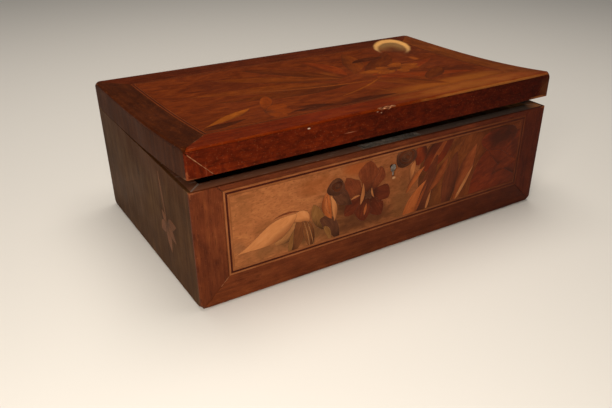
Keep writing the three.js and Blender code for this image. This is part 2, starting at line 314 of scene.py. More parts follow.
# A point's height with the lid flat again, whether it is on the lid, and how far it is from the saw cut
def flatHeight(add, place):
    y, z = add("SeparateXYZ", [place]).node.outputs[1:]
    saw = (caseTop + lidBase) / 2
    reach = add("MapRange", [y, back, front])
    rise = add("Math", [reach, boxSizes["lidRisePower"]], "POWER")
    onLid = add("Math", [z, saw], "GREATER_THAN")
    lift = add("Math", [rise, onLid], "MULTIPLY")
    height = add("Math", [lift, -boxSizes["lidRise"], z], "MULTIPLY_ADD")
    fromSaw = add("Math", [height, saw], "SUBTRACT")
    return height, onLid, add("Math", [fromSaw], "ABSOLUTE")


# How far a point of the outside is from the nearest arris: the middle one of its distances to the three outer
# planes. The largest one shows how far it is from a corner.
def arrisDistance(add, place):
    height, onLid, fromSaw = flatHeight(add, place)
    middle = (0, (front + back) / 2, 0)
    off = add("VectorMath", [place, middle], "SUBTRACT")
    off = add("VectorMath", [off], "ABSOLUTE")
    within = add("VectorMath", [(side, (back - front) / 2, 0), off], "SUBTRACT")
    fromEnd, fromFace = add("SeparateXYZ", [within]).node.outputs[:2]
    ceiling = add("Math", [onLid, boxTop], "MULTIPLY")
    fromOuter = add("Math", [ceiling, height], "SUBTRACT")
    fromOuter = add("Math", [fromOuter], "ABSOLUTE")
    fromEdge = add("Math", [fromSaw, fromOuter], "MINIMUM")
    low = add("Math", [fromEnd, fromFace], "MINIMUM")
    high = add("Math", [fromEnd, fromFace], "MAXIMUM")
    between = add("Math", [high, fromEdge], "MINIMUM")
    nearest = add("Math", [low, between], "MAXIMUM")
    return nearest, add("Math", [high, fromEdge], "MAXIMUM")


# The mark of a wet glass on the lid: a pale bleached crescent in the polish, open towards the front
ringStain = {
    "centre": (108.5, 57.0), "turn": -33.8, "across": 16.6, "along": 29.5,
    "hollow": (13.4, 25.5), "hollowBack": 6.6, "ragged": 0.14, "tint": "#f0b268", "tipTint": "#b08a5c",
    "strength": 0.95, "haze": "#967043",
    "openFront": (-24.0, -10.0), "hazeFrom": (-18.0, 4.0), "tipTo": (-20.0, 8.0), "raggedSize": 6,
}


def addRingStain(add, place, colour):
    stain = ringStain
    turn = math.radians(stain["turn"])
    across, along = (math.cos(turn), math.sin(turn), 0), (-math.sin(turn), math.cos(turn), 0)
    off = add("VectorMath", [place, (*stain["centre"], boxTop)], "SUBTRACT")
    acrossIt = add("VectorMath", [off, across], "DOT_PRODUCT")
    alongIt = add("VectorMath", [off, along], "DOT_PRODUCT")
    ragged = add("TexNoise", {"Vector": place, "Scale": 1 / stain["raggedSize"],
                              "Detail": 4.0, "Roughness": 0.6})
    reaches = []
    for wide, deep, shift in ((stain["across"], stain["along"], 0), (*stain["hollow"], stain["hollowBack"])):
        shifted = add("Math", [alongIt, shift], "ADD")
        spot = add("CombineXYZ", [acrossIt, shifted])
        spot = add("VectorMath", [spot, (1 / wide, 1 / deep, 0)], "MULTIPLY")
        reach = add("VectorMath", [spot], "LENGTH")
        reaches.append(add("Math", [ragged, stain["ragged"], reach], "MULTIPLY_ADD"))
    inside = add("MapRange", [reaches[0], 0.94, 1.14, 1.0, 0.0], interpolation_type="SMOOTHSTEP")
    strength = stain["strength"]
    outOfHollow = add("MapRange", [reaches[1], 0.9, 1.15, 0.0, strength], interpolation_type="SMOOTHSTEP")
    openFront = add("MapRange", [alongIt, *stain["openFront"]])
    inside = add("Math", [inside, openFront], "MULTIPLY")
    hazeShare = add("MapRange", [reaches[1], 0.1, 0.75, 0.15, 0.85])
    atBack = add("MapRange", [alongIt, *stain["hazeFrom"]])
    hazeShare = add("Math", [hazeShare, atBack], "MULTIPLY")
    hazeShare = add("Math", [hazeShare, inside], "MULTIPLY")
    colour = add("Mix", [hazeShare, colour, stain["haze"]], data_type="RGBA")
    share = add("Math", [inside, outOfHollow], "MULTIPLY")
    towardsBack = add("MapRange", [alongIt, *stain["tipTo"]])
    tint = add("Mix", [towardsBack, stain["tipTint"], stain["tint"]], data_type="RGBA")
    return add("Mix", [share, colour, tint], data_type="RGBA")


# The old polish that all the veneers share: the sizes of its patterns, and how far wear reaches in
polish = {
    "cloudSize": 42, "speckSize": 1.3, "rippleSize": 16, "rippleDepth": 0.22, "poreDepth": -0.03,
    "wearSize": 7, "wearReach": 4.5, "wearStart": -2.45, "cornerFrom": 2.0, "cornerTo": 11.0,
    "cornerWear": 1.3, "wornRoughness": 0.62, "sheenAbove": 0.08, "sheenBelow": 0.05,
}


# Polished veneer under aged shellac. The eye gets the figure along the grain, short dark pores, a patina that
# runs on from piece to piece, and pale bare wood where hands have worn the arrises.
def makeVeneer(name, wood, isInlay=False):
    material, add = startMaterial(name)
    grain = add("UVMap", uv_map="grain")
    place = placeInMm(add)

    # Figure: long streaks along the grain over a broader mottle
    length, width = wood["figure"]
    streakMap = add("Mapping", {"Vector": grain, "Scale": (1 / length, 1 / width, 1)})
    streak = add("TexNoise", {"Vector": streakMap, "Scale": 1.0, "Detail": 5.0, "Roughness": 0.62,
                              "Distortion": wood.get("curl", 0.4)})
    length, width = wood["mottle"]
    mottleMap = add("Mapping", {"Vector": grain, "Location": (3.1, 7.7, 0),
                                "Scale": (1 / length, 1 / width, 1)})
    mottle = add("TexNoise", {"Vector": mottleMap, "Scale": 1.0, "Detail": 3.0, "Roughness": 0.55,
                              "Distortion": wood.get("swirl", 0.6)})
    figure = add("Mix", [wood.get("mottleShare", 0.5), streak, mottle], data_type="FLOAT")
    colour = add("ValToRGB", [figure], stops=zip((0.3, 0.5, 0.7), wood["tones"]))

    # Pores: open vessels, short and dark, drawn about twice as wide as real ones so that they show
    length, width = wood["pore"]
    poreMap = add("Mapping", {"Vector": grain, "Scale": (1 / length, 1 / width, 1)})
    pore = add("TexNoise", {"Vector": poreMap, "Scale": 1.0, "Detail": 2.0, "Roughness": 0.5})
    poreMask = add("MapRange", [pore, 0.56, 0.70, 0.0, wood.get("poreDepth", 0.5)])
    colour = add("Mix", [poreMask, colour, wood["poreColour"]], data_type="RGBA")

    # Sand scorching across an inlaid piece, from its own map
    if isInlay:
        scorch = add("UVMap", uv_map="scorch")
        reach = add("SeparateXYZ", [scorch])
        ragged = add("Math", [streak, 0.5, reach], "MULTIPLY_ADD")
        burnt = add("MapRange", [ragged, 0.75, 1.3, 0.0, 0.8], interpolation_type="SMOOTHSTEP")
        colour = add("Mix", [burnt, colour, wood["scorched"]], data_type="RGBA")

    # Painted shade: the wood is darkened towards the right of the box, standing in for the key light falling
    # off across the front
    if "paintedShadeToRight" in wood:
        fromX, toX, tint = wood["paintedShadeToRight"]
        across = add("SeparateXYZ", [place])
        share = add("MapRange", [across, fromX, toX])
        colour = add("Mix", [share, colour, tint], data_type="RGBA", blend_type="MULTIPLY")

    # Patches: broad places where the ground was darkened or lightened, by place and reach. Most are smoky
    # staining and pale scuffs; the near black one at the keyhole is a painted shadow, and the orange ones at
    # the right end of the lid's front are a painted glow
    for centreOfPatch, reachOfPatch, strength, tint in wood.get("patches", []):
        off = add("VectorMath", [place, centreOfPatch], "SUBTRACT")
        off = add("VectorMath", [off, [1 / part for part in reachOfPatch]], "MULTIPLY")
        away = add("VectorMath", [off], "LENGTH")
        away = add("Math", [mottle, 0.9, away], "MULTIPLY_ADD")
        share = add("MapRange", [away, 0.7, 1.5, strength, 0.0], interpolation_type="SMOOTHSTEP")
        colour = add("Mix", [share, colour, tint], data_type="RGBA")

    if wood.get("ringStain"):
        colour = addRingStain(add, place, colour)

    # Patina: old polish that has darkened in clouds a few centimetres wide
    cloud = add("TexNoise", {"Vector": place, "Scale": 1 / polish["cloudSize"],
                             "Detail": 4.0, "Roughness": 0.6})
    cloudTone = add("MapRange", [cloud, 0.3, 0.7, 1 - wood.get("patina", 0.25), 1.0])
    colour = add("VectorMath", [colour, cloudTone], "SCALE")

    # Fine speckle of dust in the pores and specks of lost polish, about a millimetre apart
    speckle = add("TexNoise", {"Vector": place, "Scale": 1 / polish["speckSize"],
                               "Detail": 2.0, "Roughness": 0.7})
    speckMask = add("MapRange", [speckle, 0.60, 0.78, 0.0, wood.get("speckle", 0.3)])
    colour = add("Mix", [speckMask, colour, wood["worn"]], data_type="RGBA")

    # Wear at the arrises and most of all at the corners
    nearest, farther = arrisDistance(add, place)
    edgeNoise = add("TexNoise", {"Vector": place, "Scale": 1 / polish["wearSize"],
                                 "Detail": 5.0, "Roughness": 0.7})
    atCorner = add("MapRange", [farther, polish["cornerFrom"], polish["cornerTo"], polish["cornerWear"], 0.0])
    reachOfWear = add("Math", [edgeNoise, polish["wearReach"], polish["wearStart"]], "MULTIPLY_ADD")
    reachOfWear = add("Math", [reachOfWear, atCorner], "ADD")
    overEdge = add("Math", [reachOfWear, nearest], "SUBTRACT")
    wear = wood.get("wear", 0.6)
    wornMask = add("MapRange", [overEdge, -0.5, 1.2, 0.0, wear], interpolation_type="SMOOTHSTEP")
    colour = add("Mix", [wornMask, colour, wood["worn"]], data_type="RGBA")

    # Satin old polish, duller where it has worn off
    dull, glossy = wood["gloss"] + polish["sheenAbove"], wood["gloss"] - polish["sheenBelow"]
    sheen = add("MapRange", [cloud, 0.3, 0.7, dull, glossy])
    rough = add("Mix", [wornMask, sheen, polish["wornRoughness"]], data_type="FLOAT")

    # Relief: pores, and the slow ripple of veneer that has moved over its boards
    ripple = add("TexNoise", {"Vector": place, "Scale": 1 / polish["rippleSize"], "Detail": 2.0})
    poreRelief = add("Math", [poreMask, polish["poreDepth"]], "MULTIPLY")
    relief = add("Math", [ripple, polish["rippleDepth"], poreRelief], "MULTIPLY_ADD")
    bump = add("Bump", {"Height": relief, "Distance": mm, "Strength": 1.0})
    return setShader(material, IOR=1.5, Specular_IOR_Level=wood.get("specular", 0.1), Base_Color=colour,
                     Roughness=rough, Normal=bump)


through = 20        # patches reach this far into the box, so that they cover a skin's full thickness


# Patches on the front or on the lid, by place, reach each way, strength and tone
def onFront(rows):
    return [((x, front, z), (wide, through, high), strength, tone)
            for x, z, wide, high, strength, tone in rows]


def onLid(rows):
    return [((x, y, boxTop), (wide, deep, through), strength, tone)
            for x, y, wide, deep, strength, tone in rows]


# Mahogany: red-brown, with a speckled, faintly striped figure. Each strip was cut from another board.
mahogany = {
    "tones": ("#3c1004", "#561707", "#71240b"), "worn": "#a5623c",
    "poreColour": "#260b05", "pore": (7, 0.5), "figure": (60, 2.6), "mottle": (14, 7),
    "mottleShare": 0.45, "patina": 0.3, "gloss": 0.42,
}
# The front strips are darkened towards the right as painted shade, where the key light falls off
mahoganies = {
    "lidFace": {
        "tones": ("#3c0f02", "#5a1a06", "#762809"), "specular": 0.03, "wear": 0.45, "speckle": 0.45,
        "mottle": (6, 4), "mottleShare": 0.6, "paintedShadeToRight": (-60, 150, "#a89088"),
        "patches": onFront([
            (-68.9, 107.4, 1.4, 0.6, 0.95, "#f0d2b8"), (-37.5, 98.7, 6, 0.4, 0.75, "#a8694a"),
            (-16.5, 108.6, 1.0, 0.5, 0.8, "#d8a888"), (-13.5, 107.6, 0.8, 0.5, 0.6, "#d8a888"),
            (-45.5, 110, 4, 0.7, 0.4, "#b0704c"), (-138, 96, 0.5, 6, 0.35, "#8c4a30"),
            # The patches at x 140 and 147 are painted light: an orange glow on the right end of the lid's
            # front, where a light from the back right catches it
            (140, 92.6, 12, 1.2, 0.6, "#b06c38"), (92, 111.3, 84, 0.7, 0.7, "#b8824e"),
            (147, 98, 10, 12, 0.36, "#7c4520"),
        ]),
    },
    "caseFace": {"tones": ("#482010", "#642e16", "#7c4020"), "specular": 0.06,
                 "paintedShadeToRight": (-40, 150, "#d1a285")},
    "caseRail": {"tones": ("#52240f", "#6e3418", "#864622"), "specular": 0.06,
                 "paintedShadeToRight": (-110, 140, "#a88c7c")},
    "lidFront": {"tones": ("#4a1602", "#6a2004", "#833306"), "specular": 0.02, "wear": 0.45,
                 "patches": [((92, front, 111), (84, 1.0, 20), 0.6, "#b0733c"),
                             *onLid([(78, -80, 100, 18, 0.75, "#9e581e")])]},
    "lidBack": {"tones": ("#3a1404", "#541e06", "#6c2c0c"), "specular": 0.02, "ringStain": True},
    "lidLeft": {"tones": ("#301204", "#421b06", "#56260a"), "specular": 0.02},
    "lidRight": {"tones": ("#542408", "#72350c", "#8a4714"), "specular": 0.02, "ringStain": True},
}
# Figured walnut of the ends and the back, faded to a grey brown
fadedWalnut = {
    "tones": ("#382414", "#4e321c", "#64462a"), "worn": "#8c6848",
    "poreColour": "#22160c", "pore": (9, 0.6), "figure": (70, 3.2), "mottle": (34, 12), "specular": 0.015,
    "mottleShare": 0.4, "patina": 0.22, "gloss": 0.46, "speckle": 0.12,
    "patches": [((-side, -10, 82), (20, 110, 20), 0.5, "#4a260e")],
}
# The same veneer above the saw cut, where hands have kept the polish darker
darkWalnut = {**fadedWalnut, "tones": ("#2f1507", "#43200b", "#562c10"), "patches": []}
mahoganyFor = {}
for strip, tone in mahoganies.items():
    mahoganyFor[strip] = makeVeneer("mahogany_" + strip, {**mahogany, **tone})
walnutEnds = makeVeneer("fadedWalnut", fadedWalnut)
walnutAbove = makeVeneer("darkWalnut", darkWalnut)


# Bare sawn board, never polished: dull, brown with age, with growth lines and dust. Where the saw parted the
# lid from the case it is greyer and darker, because it has been handled.
bareWoodLook = {
    "tones": ("#3a2415", "#553820", "#6b4a2d"), "growth": "#33200f",
    "film": "#6a543c", "rim": "#7a4c36", "paintedRimShade": "#5c4c44", "paintedRimGlow": "#cf8a55", "dust": "#94867a",
    "grain": (90, 4), "growthLine": (260, 1.6), "cloudSize": 30, "scuff": (9, 1.2),
    "rimShadeFrom": -140.0, "rimShadeTo": 60.0, "paintedGlowReach": (5.0, 17.0), "gapShadeFrom": 3.0, "gapShadeTo": 10.0,
    "lineDepth": -0.08, "grainDepth": 0.15,
}


def makeBareWood(name, along):
    material, add = startMaterial(name)
    look = bareWoodLook
    place = placeInMm(add)
    lie, lines = ([1 / (length if axis == along else width) for axis in "xyz"]
                  for length, width in (look["grain"], look["growthLine"]))
    grain = add("Mapping", {"Vector": place, "Scale": lie})
    grain = add("TexNoise", {"Vector": grain, "Scale": 1.0, "Detail": 5.0, "Distortion": 0.3})
    colour = add("ValToRGB", [grain], stops=zip((0.3, 0.5, 0.7), look["tones"]))
    growth = add("Mapping", {"Vector": place, "Scale": lines})
    growth = add("TexNoise", {"Vector": growth, "Scale": 1.0, "Detail": 2.0})
    lineMask = add("MapRange", [growth, 0.52, 0.68, 0.0, 0.6])
    colour = add("Mix", [lineMask, colour, look["growth"]], data_type="RGBA")
    cloud = add("TexNoise", {"Vector": place, "Scale": 1 / look["cloudSize"], "Detail": 4.0})
    film = add("MapRange", [cloud, 0.4, 0.8, 0.0, 0.25])
    colour = add("Mix", [film, colour, look["film"]], data_type="RGBA")

    # The sawn rim, with a few pale scuffs along it
    across, inwards = add("SeparateXYZ", [place]).node.outputs[:2]
    # Painted shade: the rim turns greyer and darker towards the right, standing in for the lid's shadow on it
    rimShadeShare = add("MapRange", [across, look["rimShadeFrom"], look["rimShadeTo"]])
    rim = add("Mix", [rimShadeShare, look["rim"], look["paintedRimShade"]], data_type="RGBA")
    # Painted shade: the rim is darkened inwards from the front, standing in for the shade in the gap under
    # the lid
    inner = add("MapRange", [inwards, front + look["gapShadeFrom"], front + look["gapShadeTo"], 1.0, 0.5])
    rim = add("VectorMath", [rim, inner], "SCALE")
    # Painted light: an orange glow at the rim's right front corner, where light from the right catches it
    rightCorner = add("VectorMath", [place, (side, front, caseTop)], "DISTANCE")
    paintedGlowShare = add("MapRange", [rightCorner, *look["paintedGlowReach"], 1.0, 0.0])
    rim = add("Mix", [paintedGlowShare, rim, look["paintedRimGlow"]], data_type="RGBA")
    fromEnd = add("Math", [across], "ABSOLUTE")
    offMitre = add("Math", [fromEnd, inwards], "ADD")
    offMitre = add("Math", [offMitre, side + front], "SUBTRACT")
    offMitre = add("Math", [offMitre], "ABSOLUTE")
    mitreMask = add("MapRange", [offMitre, 0.35, 1.1, 0.7, 0.0])
    rim = add("Mix", [mitreMask, rim, look["dust"]], data_type="RGBA")
    length, width = look["scuff"]
    scuff = add("Mapping", {"Vector": place, "Scale": (1 / length, 1 / width, 1)})
    scuff = add("TexNoise", {"Vector": scuff, "Scale": 1.0, "Detail": 3.0})
    scuffMask = add("MapRange", [scuff, 0.62, 0.74, 0.0, 0.5])
    rim = add("Mix", [scuffMask, rim, look["dust"]], data_type="RGBA")
    fromSaw = flatHeight(add, place)[2]
    atSaw = add("MapRange", [fromSaw, 0.25, 0.8, 1.0, 0.0])
    colour = add("Mix", [atSaw, colour, rim], data_type="RGBA")
    rough = add("MapRange", [grain, 0.0, 1.0, 0.62, 0.85])
    relief = add("Math", [lineMask, look["lineDepth"]], "MULTIPLY")
    relief = add("Math", [grain, look["grainDepth"], relief], "MULTIPLY_ADD")
    bump = add("Bump", {"Height": relief, "Distance": mm, "Strength": 1.0})
    return setShader(material, IOR=1.5, Specular_IOR_Level=0.06, Base_Color=colour, Roughness=rough,
                     Normal=bump)


# Wood broken open long ago: pale torn fibres with dirt between them
def makeBrokenWood():
    material, add = startMaterial("brokenWood")
    place = placeInMm(add)
    fibre = add("Mapping", {"Vector": place, "Scale": (1 / 4, 1 / 0.5, 1 / 0.5)})
    fibre = add("TexNoise", {"Vector": fibre, "Scale": 1.0, "Detail": 4.0})
    colour = add("ValToRGB", [fibre], stops=[(0.36, "#4c2415"), (0.5, "#8a5434"), (0.66, "#cf9c74")])
    bump = add("Bump", {"Height": fibre, "Distance": 0.3 * mm, "Strength": 1.0})
    return setShader(material, IOR=1.5, Specular_IOR_Level=0.12, Roughness=0.8, Base_Color=colour,
                     Normal=bump)


# Cast or forged metal with a dull skin that has grown over it. The metal keeps the shader's own IOR.
def makeOldMetal(name, bright, dull, spots, grit, clean, fullSpot=0.14, skinSize=5):
    material, add = startMaterial(name)
    place = placeInMm(add)
    skin = add("TexNoise", {"Vector": place, "Scale": 1 / skinSize, "Detail": 6.0, "Roughness": 0.65})
    colour = add("ValToRGB", [skin], stops=[(0.36, dull), (0.56, bright)])
    spot = add("TexNoise", {"Vector": place, "Scale": 1 / grit, "Detail": 4.0, "Roughness": 0.7})
    spotMask = add("MapRange", [spot, clean, clean + fullSpot, 0.0, 0.85])
    colour = add("Mix", [spotMask, colour, spots], data_type="RGBA")
    bare = add("Math", [1.0, spotMask], "SUBTRACT")
    rough = add("MapRange", [skin, 0.35, 0.6, 0.62, 0.36])
    rough = add("Math", [spotMask, 0.25, rough], "MULTIPLY_ADD")
    bump = add("Bump", {"Height": spot, "Distance": 0.12 * mm, "Strength": 0.6})
    return setShader(material, Base_Color=colour, Metallic=bare, Roughness=rough, Normal=bump)


brokenWood = makeBrokenWood()
bareWoodFor = {along: makeBareWood("bareWood_" + along, along) for along in ("x", "y")}
tarnishedBrass = makeOldMetal("tarnishedBrass", "#a8834a", "#6a4d2a", "#4a3a22", 2.2, 0.56)
rustedSteel = makeOldMetal("rustedSteel", "#a39c94", "#6c6762", "#67584d", 1.8, 0.42)
print("veneers, bare wood and metals mixed")


# Cuts a piece of veneer from an outline, trims it to the outer form and lays it. Shaping is done while it is
# flat.
def layVeneer(name, body, plane, outline, depth, axis, slotName, wood, node, shaping=None, shift=None):
    piece = addOutline(name, plane, outline, *depth)
    combine(piece, outerForm, "INTERSECT", keepOther=True)
    piece.data.materials.append(wood)
    if shaping:
        shaping(piece)
    layGrain(piece, axis, shift=shift)
    if body == "lid":
        liftWithLid(piece)
    finishPiece(piece, body, slotName, None, node)


def rectangle(left, right, low, high):
    return [(left, low), (right, low), (right, high), (left, high)]


# Four strips round a rectangle, mitred at the corners
def mitredStrips(outer, inner, joint):
    left, right, low, high = outer
    inLeft, inRight, inLow, inHigh = inner
    strips = []
    for at, inAt in ((low, inLow), (high, inHigh)):
        outline = [(left + joint, at), (right - joint, at), (inRight - joint, inAt), (inLeft + joint, inAt)]
        strips.append(("along", outline))
    for at, inAt in ((left, inLeft), (right, inRight)):
        outline = [(at, low + joint), (inAt, inLow + joint), (inAt, inHigh - joint), (at, high - joint)]
        strips.append(("down", outline))
    return strips


faceDepth = (front, front + boxSizes["skin"])
lidSkinDepth = (boxTop - boxSizes["skin"], boxTop)
lidTop = boxTop - boxSizes["skin"] - boxSizes["glue"]
frameX = frameHigh.x + boxSizes["glue"] / 2


# Mahogany frame of the front: two stiles, a bottom rail and the strip of the top rail left under the saw cut
def buildFrontFrame():
    joint = boxSizes["joint"]
    railTop, frameTop = frameLow.z, frameHigh.z
    topStrip = caseTop - frameTop

    def lay(name, outline, axis, tone, node):
        layVeneer("front_banding_" + name, "case", "xz", outline, faceDepth, axis, "mahogany_banding",
                  mahoganyFor[tone], "front_banding_" + node)

    for hand, sign in (("left", -1), ("right", 1)):
        lay(hand + "_stile", [
            (sign * side, 0), (sign * (side - joint), 0),
            (sign * (frameX + joint / 2), railTop + joint), (sign * (frameX + joint / 2), frameTop - joint),
            (sign * (frameX + topStrip + joint), caseTop), (sign * side, caseTop),
        ], "z", "caseFace", hand)
    lay("bottom_rail", [
        (-side + 3 * joint, 0), (side - 3 * joint, 0),
        (frameX - joint, railTop - joint), (-frameX + joint, railTop - joint),
    ], "x", "caseRail", "bottom")
    lay("top_strip", [
        (-frameX + joint, frameTop + joint), (frameX - joint, frameTop + joint),
        (frameX + topStrip - joint, caseTop), (-frameX - topStrip + joint, caseTop),
    ], "x", "caseFace", "top")


# Tips and widths of the petals on each end of the case
endPetals = {
    "left": [((-61, 47), 8), ((-36, 50), 6), ((-31, 33), 9), ((-47, 21), 9), ((-58, 33), 8)],
    "right": [((-59, 52), 8), ((-33, 47), 8), ((-35, 29), 8), ((-52, 26), 9)],
}


# Veneer on the ends and the back, of the case and of the lid
def buildEndsAndBack():
    skin = boxSizes["skin"]
    reach = (front + skin + boxSizes["glue"], back - skin - boxSizes["glue"])
    for body, low, high, wood in (("case", 0, caseTop, walnutEnds), ("lid", lidBase, lidTop, walnutAbove)):
        for hand, depth in (("left", (-side, -side + skin)), ("right", (side - skin, side))):
            name, node = body + "_" + hand + "_end", body + "_" + hand + "_veneer"
            outline = rectangle(*reach, low, high)
            if body == "lid":
                layVeneer(name, body, "yz", outline, depth, "z", "side_veneer", wood, node, shift=(35, 20))
                continue
            end = addOutline(name, "yz", outline, *depth)
            combine(end, outerForm, "INTERSECT", keepOther=True)
            faceAt, backAt = depth if hand == "left" else depth[::-1]
            end = inlay(end, "yz", faceAt, backAt, "z", wood, endFigures(endPetals[hand]))
            finishPiece(end, body, "side_veneer", None, node)
        layVeneer(body + "_back_face", body, "xz", rectangle(-side, side, low, high), (back - skin, back),
                  "x", "side_veneer", wood, body + "_back_veneer", cutHingeGains, (10, 320))


hingeSizes = {"screwRadius": 1.25, "screwStep": 8.8, "screwsIn": 4.9, "gainClear": 0.3, "gainOut": 5,
              "pinEasing": 0.25}


# Pockets in the back edge for the hinges' leaves and knuckles
def cutHingeGains(piece):
    clear = hingeSizes["gainClear"]
    for hand in ("left", "right"):
        low, high = boxInMm("hinge_case_leaf_" + hand)
        top = boxInMm("hinge_lid_leaf_" + hand)[1].z + clear
        span, depth = (low.x - clear, high.x + clear), (low.y - clear, back + hingeSizes["gainOut"])
        gain = addBlock("gain", span, depth, (low.z - clear, top))
        combine(piece, gain, "DIFFERENCE")


# The chip broken out of the lid's front arris, with the rough bare wood in it
chipSizes = {"centre": -9.0, "length": 17, "depth": 1.5, "height": 3.4, "rough": 0.3,
             "wave": 0.3, "waves": 1.1}


def knockOutChip(piece):
    chip = chipSizes
    clearSelection()
    bpy.ops.mesh.primitive_ico_sphere_add(subdivisions=4, radius=1)
    scoop = bpy.context.object
    for vertex in scoop.data.vertices:
        bite = 1 + chip["rough"] * (random.random() - 0.5)
        along = vertex.co.x * chip["length"] / 2
        ripple = 1 + chip["wave"] * math.sin(chip["waves"] * along)
        vertex.co = Vector((
            chip["centre"] + along,
            front + vertex.co.y * chip["depth"] * bite,
            boxTop + vertex.co.z * chip["height"] / 2 * bite * ripple,
        )) * mm
    for material in (piece.data.materials[0], brokenWood):
        scoop.data.materials.append(material)
    for face in scoop.data.polygons:
        face.material_index = 1
    piece.data.materials.append(brokenWood)
    combine(piece, scoop, "DIFFERENCE")


# The lid's front is the rest of the top rail, with the sawn tops of the stiles at the ends
def buildLidFront():
    mitreX = frameX + (lidBase - frameHigh.z)
    gap = boxSizes["openJoint"]
    wood = mahoganyFor["lidFace"]
    rail = [(-mitreX + gap, lidBase), (mitreX - gap, lidBase), (side - gap, lidTop), (-side + gap, lidTop)]
    layVeneer("lid_front_rail", "lid", "xz", rail, faceDepth, "x", "mahogany_banding", wood,
              "lid_front_banding", knockOutChip)
    for hand, sign in (("left", -1), ("right", 1)):
        end = [(sign * side, lidBase), (sign * (mitreX + gap), lidBase), (sign * side, lidTop - 2 * gap)]
        layVeneer("lid_stile_top_" + hand, "lid", "xz", end, faceDepth, "z", "mahogany_banding", wood,
                  "lid_front_end_" + hand)


def buildLidBorder():
    joint = boxSizes["joint"]
    inX, inFront, inBack = ringHigh.x + joint, ringLow.y - joint, ringHigh.y + joint
    strips = mitredStrips((-side, side, front, back), (-inX, inX, inFront, inBack), joint)
    for where, (run, outline) in zip(("front", "back", "left", "right"), strips):
        layVeneer("lid_border_" + where, "lid", "xy", outline, lidSkinDepth, "x" if run == "along" else "y",
                  "mahogany_banding", mahoganyFor["lid" + where.capitalize()], "lid_banding_" + where,
                  knockOutChip if where == "front" else None)


# The outline of a leaf, petal, blade or stem: a curved spine with a width that swells to its fullest place
def leafShape(root, middle, tip, width, fullest=0.5, rootWidth=0.0, tipWidth=0.0, blunt=1.0, waves=0,
              steps=14):
    root, middle, tip = Vector(root), Vector(middle), Vector(tip)
    skew = math.log(0.5) / math.log(fullest)
    nearSide, farSide = [], []
    for step in range(steps + 1):
        t = step / steps
        point = root * (1 - t) ** 2 + middle * 2 * t * (1 - t) + tip * t ** 2
        run = ((middle - root) * (1 - t) + (tip - middle) * t).normalized()
        swell = max(0, math.sin(math.pi * t ** skew)) ** blunt
        if waves:
            swell *= 1 + 0.13 * math.sin(2 * math.pi * waves * t)
        half = width / 2 * swell + (rootWidth * (1 - t) + tipWidth * t) / 2
        across = Vector((-run.y, run.x)) * half
        nearSide.append(point + across)
        farSide.append(point - across)
    outline = []
    for point in nearSide + farSide[::-1]:
        if not outline or (point - outline[-1]).length > 0.06:
            outline.append(point)
    if (outline[0] - outline[-1]).length < 0.06:
        outline.pop()
    return outline


# A round bud or patch, with lobes if it has any
def roundShape(centre, radii, lobes=0, depth=0.0, turn=0.0, steps=30):
    outline = []
    for step in range(steps):
        angle = 2 * math.pi * step / steps
        reach = 1 + depth * math.cos(lobes * (angle - math.radians(turn)))
        outline.append(Vector((
            centre[0] + radii[0] * reach * math.cos(angle),
            centre[1] + radii[1] * reach * math.sin(angle),
        )))
    return outline


# An inlaid figure: its wood, how far its grain is turned, the side darkened in hot sand, and its outline
def leaf(wood, turn, scorch, *shape, **swell):
    return {"wood": wood, "turn": turn, "scorch": scorch, "outline": leafShape(*shape, **swell)}


def blob(wood, turn, scorch, *shape):
    return {"wood": wood, "turn": turn, "scorch": scorch, "outline": roundShape(*shape)}


# The same outline a saw cut wider all round
def grown(outline, by):
    count = len(outline)
    area = sum(outline[i].cross(outline[(i + 1) % count]) for i in range(count))
    turn = 1 if area > 0 else -1
    wider = []
    for i, point in enumerate(outline):
        run = (outline[(i + 1) % count] - outline[i - 1]).normalized()
        wider.append(point + Vector((run.y, -run.x)) * by * turn)
    return wider


inlayCut = {
    "kerf": 0.05,         # saw cut round each inlaid piece
    "easedEdge": 0.08,    # its edge, rounded by sanding
    "overrun": 1.0,
}


# Breaks the edge of an inlaid piece's face, and paints the break with the dark glue line
def easeFace(piece, plane, faceAt, inward):
    axis = {"xz": 1, "yz": 0, "xy": 2}[plane]
    openMesh(piece, "DESELECT")
    closeMesh()
    onFace = lambda co: abs(co[axis] / mm - faceAt) < 0.01
    for face in piece.data.polygons:
        face.select = all(onFace(piece.data.vertices[i].co) for i in face.vertices)
    if not any(face.select for face in piece.data.polygons):
        return
    bpy.ops.object.mode_set(mode="EDIT")
    bpy.ops.mesh.inset(thickness=inlayCut["easedEdge"] * mm, depth=0)
    closeMesh()
    kept = {i for face in piece.data.polygons if face.select for i in face.vertices}
    for vertex in piece.data.vertices:
        if vertex.index not in kept and onFace(vertex.co):
            vertex.co[axis] += inward * inlayCut["easedEdge"] * mm
    for face in piece.data.polygons:
        touches = any(i in kept for i in face.vertices)
        if touches and not face.select:
            face.material_index = 1


# Writes how far across its piece a point is, from the light side to the side darkened in hot sand
def layScorch(piece, plane, outline, angle):
    scorch = piece.data.uv_layers.new(name="scorch")
    first, second = {"xz": (0, 2), "yz": (1, 2), "xy": (0, 1)}[plane]
    if angle is None:
        for corner in scorch.data:
            corner.uv = (-1, 0)
        return
    toward = Vector((math.cos(math.radians(angle)), math.sin(math.radians(angle))))
    reach = [toward.dot(point) for point in outline]
    low, span = min(reach), max(reach) - min(reach)
    for loop in piece.data.loops:
        co = piece.data.vertices[loop.vertex_index].co / mm
        scorch.data[loop.index].uv = ((toward.dot(Vector((co[first], co[second]))) - low) / span, 0)


